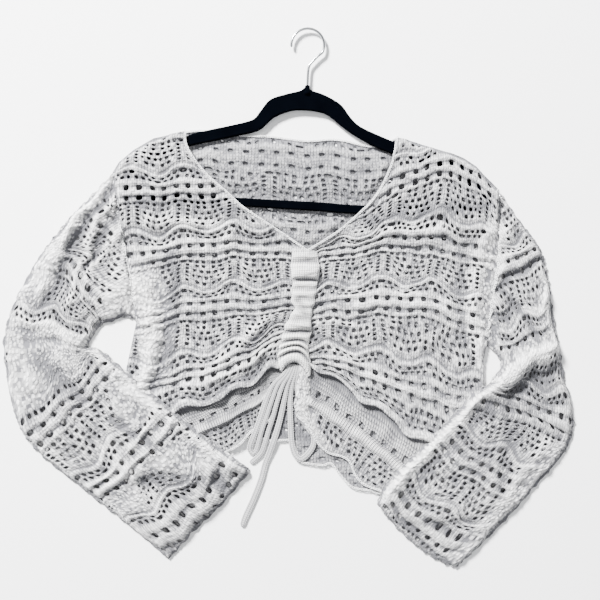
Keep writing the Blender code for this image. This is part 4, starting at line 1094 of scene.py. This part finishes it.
# --- Drawstring -------------------------------------------------------------------------------
# One long knitted lace that runs up and down the casing, shown where it comes out at the lower
# end: two loops that hang down and two free tails, the longer one towards the left.
LACE_THICK = 1.8
LACES = {
    # X, Y, Z of the underside, and width
    "lace_loop_left": [
        (-2.0, -79.5, 4.7, 2.2), (-8.6, -91, 5.6, 2.6), (-22, -105, 6.4, 4.0),
        (-30, -123, 6.2, 5.5), (-37.5, -146, 5.2, 6.0), (-44, -164, 4.6, 6.0),
        (-49, -177, 2.6, 6.0), (-50, -184, 1.2, 6.0), (-46.5, -188.5, 0.8, 5.6),
        (-42.2, -185, 1.2, 5.2), (-39.6, -176, 2.6, 4.8), (-35.5, -160, 4.6, 4.6),
        (-30, -144, 5.2, 4.4), (-23, -123, 6.2, 4.2), (-16, -105, 6.4, 3.6),
        (-5.2, -91, 5.6, 2.4), (0.6, -79.5, 4.7, 2.2)],
    "lace_tail_short": [
        (3.1, -79.5, 4.7, 2.2), (-1.6, -91, 5.4, 2.6), (-9.8, -105, 6.0, 3.8),
        (-16, -123, 5.8, 4.2), (-22.5, -146, 4.8, 4.4), (-27, -160, 3.4, 4.6),
        (-31, -174, 2.7, 4.8), (-35.5, -187, 1.2, 5.2), (-43, -195.5, 0.3, 5.6),
        (-50, -201, 0.3, 5.8)],
    "lace_tail_long": [
        (5.6, -79.5, 4.7, 2.2), (2.2, -91, 5.2, 2.6), (-3.8, -105, 4.8, 3.8),
        (-8, -123, 4.0, 5.0), (-13, -146, 2.8, 5.6), (-18, -164, 2.6, 6.0),
        (-22, -176, 2.6, 6.2), (-26.5, -189, 1.2, 6.4), (-31.5, -202, 0.3, 6.5),
        (-37, -222, 0.3, 6.5), (-46, -245, 0.3, 6.5), (-56, -267, 0.3, 6.5),
        (-60, -279, 0.3, 5.0)],
    "lace_loop_right": [
        (8.1, -79.5, 4.7, 2.2), (5.4, -91, 4.7, 2.4), (1.6, -105, 4.0, 3.8),
        (-0.8, -123, 2.8, 5.0), (-0.4, -152, 2.5, 5.6), (1.0, -176, 2.5, 6.0),
        (5.0, -190, 2.5, 6.0), (12.0, -195.5, 2.5, 6.0), (21.0, -189, 2.5, 6.0),
        (27.5, -178, 2.5, 5.6), (27.0, -164, 2.5, 5.0), (22.0, -148, 2.5, 4.6),
        (15.5, -132, 2.5, 4.2), (8.8, -118, 2.5, 3.8), (6.2, -105, 3.0, 3.2),
        (8.6, -91, 4.7, 2.2), (10.6, -79.5, 4.7, 2.2)],
}
LACE_ENDS = {"lace_loop_left": "object", "lace_tail_short": "bare", "lace_tail_long": "bare",
             "lace_loop_right": "object"}
LACE_STITCH = 2.6
LACE_SIDES = 18
LACE_GROOVE, GROOVE_WIDE = 0.42, 0.22
LACE_LOWEST = 0.1

lace_cotton = cotton("lace_cotton", (0.58, 0.58, 0.59), depth=0.8, lift=0.0005, fuzz=0.3,
                     uneven_stitches=0.3)


def knitted_lace(name, route):
    """A flat knitted lace: two columns of stitches that meet along a groove."""
    line = along(route, np.linspace(0, 1, int(run_of([p[:3] for p in route]) / 0.9)))
    count = len(line)
    centre = line[:, :3] + np.array([0, 0, LACE_THICK / 2 + 0.3])
    beside = frame_along(centre)[1]
    gone = np.cumsum(np.linalg.norm(np.gradient(centre, axis=0), axis=1))[:, None]
    angle = (np.arange(LACE_SIDES) * 2 * math.pi / LACE_SIDES)[None]
    wide = np.sign(np.cos(angle)) * np.abs(np.cos(angle)) ** 0.8
    pulse = np.sin(2 * math.pi * (gone / LACE_STITCH + 0.55 * np.abs(wide)))
    half = 1.2 * np.maximum(line[:, 3:4], 3.6) / 2 * (1.0 + 0.07 * pulse)
    groove = 1.0 - LACE_GROOVE * np.exp(-(wide / GROOVE_WIDE) ** 2)
    thick = (LACE_THICK / 2 + 0.25) * groove * (1.0 + 0.22 * pulse)
    ends = np.ones((count, 1))
    if LACE_ENDS[name] == "bare":
        ends[-4:, 0] = (0.95, 0.8, 0.6, 0.35)
    rings = centre[:, None] + beside[:, None] * (half * wide * ends)[..., None]
    rings[..., 2] = np.maximum(rings[..., 2] + thick * np.sin(angle) * ends, LACE_LOWEST)
    uv = np.stack(np.broadcast_arrays(0.5 + wide, gone / LACE_STITCH), axis=2).reshape(-1, 2)
    name_shown = name.replace("lace", "string")
    made = dressed(name_shown, tube_mesh(name_shown, rings), uv, lace_cotton)
    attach(made, "root")
    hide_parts(name)


for name, route in LACES.items():
    knitted_lace(name, route)

# --- Sleeves ----------------------------------------------------------------------------------
# Two wide tubes of the same lace, set into the armholes and pressed flat in two layers. Both are
# folded forward at the elbow, so that the forearms lie over the fronts' hem.
SEAM_SIDE = 0.5
SEAM_LAP = 2.4                # the upper layer laps the armhole seam
FOREARM_REST = 2.0 * WALL + 3.0 * SEAM
FOREARM_CLIMB = (36.0, 16.0)  # it starts to rise this far from the body, over this width
SLEEVE_LEFT = [
    # lace repeats from the armhole, climb onto the body, and points from the outer edge inwards
    (0.0, 0.0, [(-218, 154, 3), (-211, 94, 4), (-201, 35, 4), (-190.5, -26, 3)]),
    (0.5, 0.0, [(-253, 117, 4), (-233, 72, 5), (-216, 24, 6), (-203, -21, 3)]),
    (1.0, 0.0, [(-282, 85, 4), (-259, 48, 4), (-237, 10, 7), (-217, -26, 3)]),
    (1.4, 0.0, [(-315, 40, 4), (-289, 13, 4), (-264, -11, 7), (-234, -33, 3)]),
    (1.8, 0.0, [(-345, -23, 3), (-318, -29, 3), (-285, -43, 4), (-248, -57, 3)]),
    (2.2, 0.5, [(-350, -77, 5), (-311, -72, 9), (-272, -65, 9), (-233, -63, 5)]),
    (3.0, 1.0, [(-326, -167, 3), (-284, -138, 6), (-245, -111, 6), (-205, -85, 4)]),
    (4.0, 1.0, [(-251, -235, 3), (-206, -203, 5), (-162, -176, 6), (-105, -168, 4)]),
    (4.9, 1.0, [(-196, -278, 3), (-150, -255, 5), (-105, -227, 6), (-62, -199, 4)]),
    (5.3, 1.0, [(-150, -318, 3), (-117, -282, 3), (-83, -249, 4), (-50, -211, 3)]),
]
SLEEVE_RIGHT = [
    (0.0, 0.0, [(255, 132, 3), (256, 68, 4), (249, 5, 4), (239, -55, 3)]),
    (0.4, 0.0, [(278, 98, 3), (272, 45, 5), (261, -7, 4), (245, -61, 3)]),
    (0.9, 0.0, [(305, 60, 4), (292, 18, 6), (273, -23, 5), (253, -70, 3)]),
    (1.2, 0.0, [(315, 20, 4), (300, -9, 6), (281, -41, 6), (257, -76, 3)]),
    (1.7, 0.2, [(325, -44, 4), (307, -62, 8), (282, -79, 9), (255, -86, 5)]),
    (1.9, 0.9, [(329, -65, 5), (310, -76, 10), (277, -96, 11), (243, -101, 6)]),
    (2.1, 1.0, [(333, -89, 3), (314, -95, 4), (275, -111, 4), (233, -109, 5)]),
    (3.0, 1.0, [(344, -167, 3), (304, -146, 4), (261, -130, 4), (215, -122, 5)]),
    (4.0, 1.0, [(292, -237, 3), (253, -216, 5), (213, -193, 4), (178, -163, 5)]),
    (5.0, 1.0, [(239, -294, 3), (196, -279, 4), (157, -253, 4), (122, -218, 5)]),
    (5.4, 1.0, [(201, -329, 3), (167, -312, 3), (132, -283, 3), (105, -249, 3)]),
]
# The lace runs straight across each sleeve: repeats from its top, and places from the outer edge
# inwards. The net reaches past the sleeve's outline, where the armhole cuts it.
LACE_SLEEVE_LEFT = [
    (-0.7, [(-218, 172), (-178, 138), (-138, 104), (-98, 70)]),
    (0.0, [(-253, 131), (-218, 101), (-182, 67), (-145, 28)]),
    (0.5, [(-282, 95), (-249, 74), (-215, 45), (-177, 1)]),
    (1.0, [(-305, 63), (-274, 55), (-250, 29), (-209, -26)]),
    (1.2, [(-324, 52), (-282, 38), (-257, 11), (-226, -33)]),
    (1.6, [(-344, 8), (-299, 4), (-270, -7), (-237, -43)]),
    (2.0, [(-356, -33), (-309, -33), (-276, -38), (-243, -57)]),
    (2.3, [(-360, -70), (-306, -62), (-270, -62), (-235, -65)]),
    (3.0, [(-343, -182), (-292, -138), (-256, -107), (-221, -72)]),
    (4.0, [(-254, -238), (-218, -209), (-182, -168), (-142, -133)]),
    (4.9, [(-196, -282), (-160, -260), (-123, -228), (-91, -185)]),
    (5.3, [(-150, -323), (-116, -295), (-82, -257), (-55, -212)]),
]
LACE_SLEEVE_RIGHT = [
    (0.1, [(278, 135), (243, 118), (207, 101), (172, 84)]),
    (0.6, [(298, 98), (262, 79), (227, 61), (193, 44)]),
    (1.12, [(315, 61), (279, 45), (244, 28), (209, 11)]),
    (1.6, [(326, 15), (294, -1), (264, -17), (233, -33)]),
    (2.12, [(334, -33), (305, -45), (275, -60), (243, -74)]),
    (2.4, [(338, -65), (307, -74), (276, -87), (240, -101)]),
    (2.6, [(342, -96), (307, -96), (268, -96), (228, -104)]),
    (3.12, [(349, -160), (305, -140), (261, -123), (216, -106)]),
    (3.3, [(349, -181), (305, -160), (259, -145), (204, -131)]),
    (4.08, [(294, -239), (254, -218), (214, -195), (176, -161)]),
    (5.0, [(242, -296), (198, -281), (157, -255), (120, -216)]),
    (5.4, [(203, -333), (167, -314), (133, -284), (101, -248)]),
]
FOLDS_SLEEVE_LEFT = [
    # width, height, points along the crest
    (6.5, -3.2, [(-216, 140), (-235, 110), (-255, 84), (-272, 51), (-285, 17), (-299, -6)]),
    (5.0, 4.0, [(-207, 132), (-229, 101), (-245, 68), (-257, 35), (-267, -1)]),
    (5.0, -2.4, [(-196, 121), (-216, 93), (-235, 68), (-250, 43)]),
    (8.0, 4.0, [(-228, 148), (-249, 117), (-272, 82), (-289, 48), (-304, 13)]),
    (6.0, 3.0, [(-201, 84), (-226, 60), (-243, 33), (-250, 4)]),
    (14.0, 3.0, [(-174, 57), (-201, 31), (-223, 1)]),
    (2.4, 1.6, [(-279, 81), (-255, 88)]),
    (2.4, 1.8, [(-304, 59), (-272, 52)]),
    (2.4, 1.8, [(-311, 40), (-277, 37)]),
    (7.0, 4.5, [(-326, -23), (-294, -34), (-262, -49), (-233, -67), (-211, -91)]),
    (7.0, 3.4, [(-211, -91), (-199, -111), (-170, -128), (-131, -157), (-94, -182), (-62, -204)]),
    (14.0, -3.0, [(-314, -57), (-294, -89), (-260, -118)]),
    (7.0, -2.6, [(-218, -143), (-194, -162), (-165, -177)]),
    (4.0, 2.4, [(-245, -229), (-202, -199), (-187, -172), (-170, -145), (-151, -133)]),
    (4.0, 2.4, [(-233, -238), (-199, -209), (-162, -176), (-145, -149)]),
    (9.0, -2.8, [(-177, -223), (-143, -213), (-109, -218)]),
    (7.0, -4.2, [(-91, -218), (-76, -238)]),
    (6.0, -3.0, [(-157, -312), (-138, -303)]),
    (14.0, 2.0, [(-227, -184), (-196, -221), (-160, -257)]),
]
FOLDS_SLEEVE_RIGHT = [
    (12.0, 7.0, [(323, -52), (298, -70), (267, -88), (240, -104), (211, -123), (177, -157),
                 (145, -193), (121, -228)]),
    (14.0, -3.0, [(321, -77), (295, -98), (270, -117), (245, -132)]),
    (9.0, -1.8, [(243, -133), (218, -155), (192, -181), (162, -211), (140, -243)]),
    (22.0, -1.6, [(304, -123), (261, -170), (221, -209)]),
    (8.0, 2.4, [(311, -172), (275, -221), (231, -279)]),
    (8.0, -5.0, [(240, -23), (260, -18)]),
    (5.0, -3.0, [(250, -33), (245, -57)]),
    (5.0, 3.5, [(310, 38), (315, 13), (304, -9), (287, -18)]),
    (4.5, -3.6, [(312, 51), (292, 40), (268, 29), (253, 11)]),
    (5.0, -2.8, [(260, 6), (273, -10), (289, -29), (300, -51)]),
    (7.0, 3.0, [(279, 65), (260, 45), (248, 28)]),
    (10.0, -2.2, [(259, 105), (279, 77)]),
    (7.0, 3.0, [(267, 94), (255, 72), (243, 45)]),
    (5.0, -3.6, [(345, -170), (314, -213), (282, -251), (248, -292), (206, -329)]),
    (6.0, -3.0, [(123, -253), (151, -288), (192, -326)]),
]
MOSS_SLEEVE_LEFT = [
    [(-218, 155), (-209, 148), (-250, 94), (-270, 57), (-287, 21), (-301, -1), (-331, -16),
     (-331, 11), (-306, 66), (-270, 121)],
    [(-343, -23), (-294, -28), (-248, -48), (-223, -65), (-238, -77), (-279, -109), (-306, -126),
     (-333, -148), (-345, -99)],
    [(-213, -82), (-148, -128), (-172, -140), (-196, -162), (-213, -141), (-223, -109)],
    [(-228, -245), (-196, -218), (-152, -174), (-105, -170), (-84, -194), (-116, -216),
     (-160, -206), (-187, -226), (-177, -260), (-206, -267)],
    [(-189, 35), (-184, -38), (-221, -28), (-233, -1)],
]
MOSS_SLEEVE_RIGHT = [
    [(331, -38), (323, -62), (279, -96), (245, -113), (200, -154), (162, -194), (121, -245),
     (96, -233), (139, -178), (182, -138), (218, -101), (255, -68), (304, -40)],
    [(314, 45), (323, -1), (331, -44), (310, -38), (292, -7), (304, 23)],
    [(346, -172), (334, -187), (292, -238), (255, -272), (218, -321), (192, -337), (189, -314),
     (231, -270), (275, -213), (316, -177)],
    [(218, -1), (240, -1), (255, -38), (255, -65), (231, -65)],
]
SLEEVE_COLUMNS = 120
SLEEVE_LADDER = 12            # the first ladder is this many cells from the outer edge
SCALLOP, SCALLOP_LONG = 3.8, 18.0
EDGE_FALL = 2.2               # the upper layer comes down this much at its fold and at its seam


def scalloped(edge, seed):
    """An outline with the small uneven scallops that the lace makes along it."""
    ahead = np.roll(edge, -1, axis=0) - np.roll(edge, 1, axis=0)
    out = unit(np.stack((ahead[:, 1], -ahead[:, 0]), axis=1))
    gone = np.cumsum(np.linalg.norm(np.roll(edge, -1, axis=0) - edge, axis=1))
    swing = np.abs(np.sin(math.pi * gone / SCALLOP_LONG + 1.6 * np.sin(gone / 37.0 + seed))) - 0.6
    swing = swing * (0.75 + 0.45 * np.sin(gone / 23.0 + 2.0 * seed))
    return edge - SCALLOP * swing[:, None] * out


def sleeve_layer(name, table, net, folds, zones, over, seed):
    """One layer of a flattened sleeve, with the lace running across it."""
    shape = np.array([line[2] for line in table], float)
    climb = np.repeat(np.array([line[1] for line in table])[:, None], 4, axis=1)
    away = np.sign(shape[1, 1, 0] - shape[0, 1, 0])
    shape[0, :, 0] += (-SEAM_LAP if over else SEAM_SIDE) * away
    fine = 1 if over else 2
    repeats = np.array([line[0] for line in net])
    n = np.arange(round(repeats[0] * REPEAT), round(repeats[-1] * REPEAT) + 3, fine)
    m = np.arange(-4, SLEEVE_COLUMNS + 5, fine)[None, :]
    rows = np.interp(n / REPEAT, repeats, np.arange(len(net)))
    xy = spread(np.array([line[1] for line in net], float), rows, 3.0 * m[0] / SLEEVE_COLUMNS)
    n = n[:, None]
    across = smooth(shape[..., :2], np.linspace(0, len(shape) - 1, 12 * len(shape)))
    edge = np.concatenate((along(shape[0, :, :2], np.linspace(0, 1, 30)), across[1:, -1],
                           along(shape[-1, ::-1, :2], np.linspace(0, 1, 40))[1:],
                           across[-2:0:-1, 0]))
    free = np.concatenate((across[3:, -1], shape[-1, ::-1, :2], across[-2:3:-1, 0]))
    edge = scalloped(edge, seed)
    x, y = xy[..., 0], xy[..., 1]
    outline = body_outline()
    reach = nearest(x, y, outline + [outline[0]])[0] * np.where(inside(x, y, outline), 1.0, -1.0)
    weight = 1.0 / (np.hypot(x[..., None, None] - shape[..., 0],
                             y[..., None, None] - shape[..., 1]) ** 2 + 30.0) ** 2
    weight /= weight.sum(axis=(2, 3), keepdims=True)
    rest = FOREARM_REST * (weight * climb).sum(axis=(2, 3))
    rest = rest * ease((reach + FOREARM_CLIMB[0]) / FOREARM_CLIMB[1])
    side = nearest(x, y, free)[0] * inside(x, y, edge)
    inner = ease(side / 9.0)
    wave = wave_of(n, m - SLEEVE_LADDER) * inner
    moved = xy - unit(np.gradient(xy, axis=0)) * wave[..., None]
    if over:
        knots = mossy(x, y, zones)
        loft = (weight * shape[..., 2]).sum(axis=(2, 3)) - FRONT_FLOOR + 2.0
        folds = folded(x, y, folds)
        loft = np.maximum(loft + folds, 0.0) * ease(side / 8.0)
        relief = relief_of(n) * inner * (1 - 0.5 * knots)
        z = (rest + FRONT_FLOOR + WALL + 0.2 + loft + relief
             + SWELL * uneven(x, y, seed, SWELL_REACH) * inner)
        seam = nearest(x, y, shape[0, :, :2])[0]
        z = z - EDGE_FALL * (2 - ease(side / 5.0) - ease(seam / 9.0))
        opened = lace(n[:-1], m[:, :-1] - SLEEVE_LADDER) * (knots[:-1, :-1] < 0.2)
        moss, knots = moss_of(knots)
        rim, soft = 1.5, soft_shade(folds)
    else:
        z, moss, knots, rim, soft = rest + WALL - 0.2, 0.12, 0.3, 1.2, 0.0
        opened = np.zeros((len(n) - 1, m.size - 1), int)
    made = lace_cloth(name.replace("sleeve", "arm"), moved, z, opened, edge, knit_cotton, rim=rim,
                      seed=seed, first=(0, -SLEEVE_LADDER), moss=moss, knots=knots, soft=soft)
    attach(made, "root")
    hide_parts(name)
    return made


for name, table, net, folds, zones, seed in (
        ("sleeve_left", SLEEVE_LEFT, LACE_SLEEVE_LEFT, FOLDS_SLEEVE_LEFT, MOSS_SLEEVE_LEFT, 31),
        ("sleeve_right", SLEEVE_RIGHT, LACE_SLEEVE_RIGHT, FOLDS_SLEEVE_RIGHT, MOSS_SLEEVE_RIGHT,
         41)):
    below = [left_front, right_front]
    for over, layer in enumerate(("_under", "_over")):
        below = [sleeve_layer(name + layer, table, net, folds, zones, over, seed + over)]

for name, points, cloth, shift, seed in (
        ("armhole_chain_left", ARMHOLE_LEFT, "arm_left_over", 2.0, 61),
        ("armhole_chain_right", ARMHOLE_RIGHT, "arm_right_over", -2.0, 62)):
    line = fine_line(points)
    line[:, 0] += 0.8 * np.sin(np.arange(len(line)) * 0.9) + shift
    chain_along(name, line, bpy.data.objects[cloth], 0.2, seed, length=3.0, width=2.2, yarn=0.5)
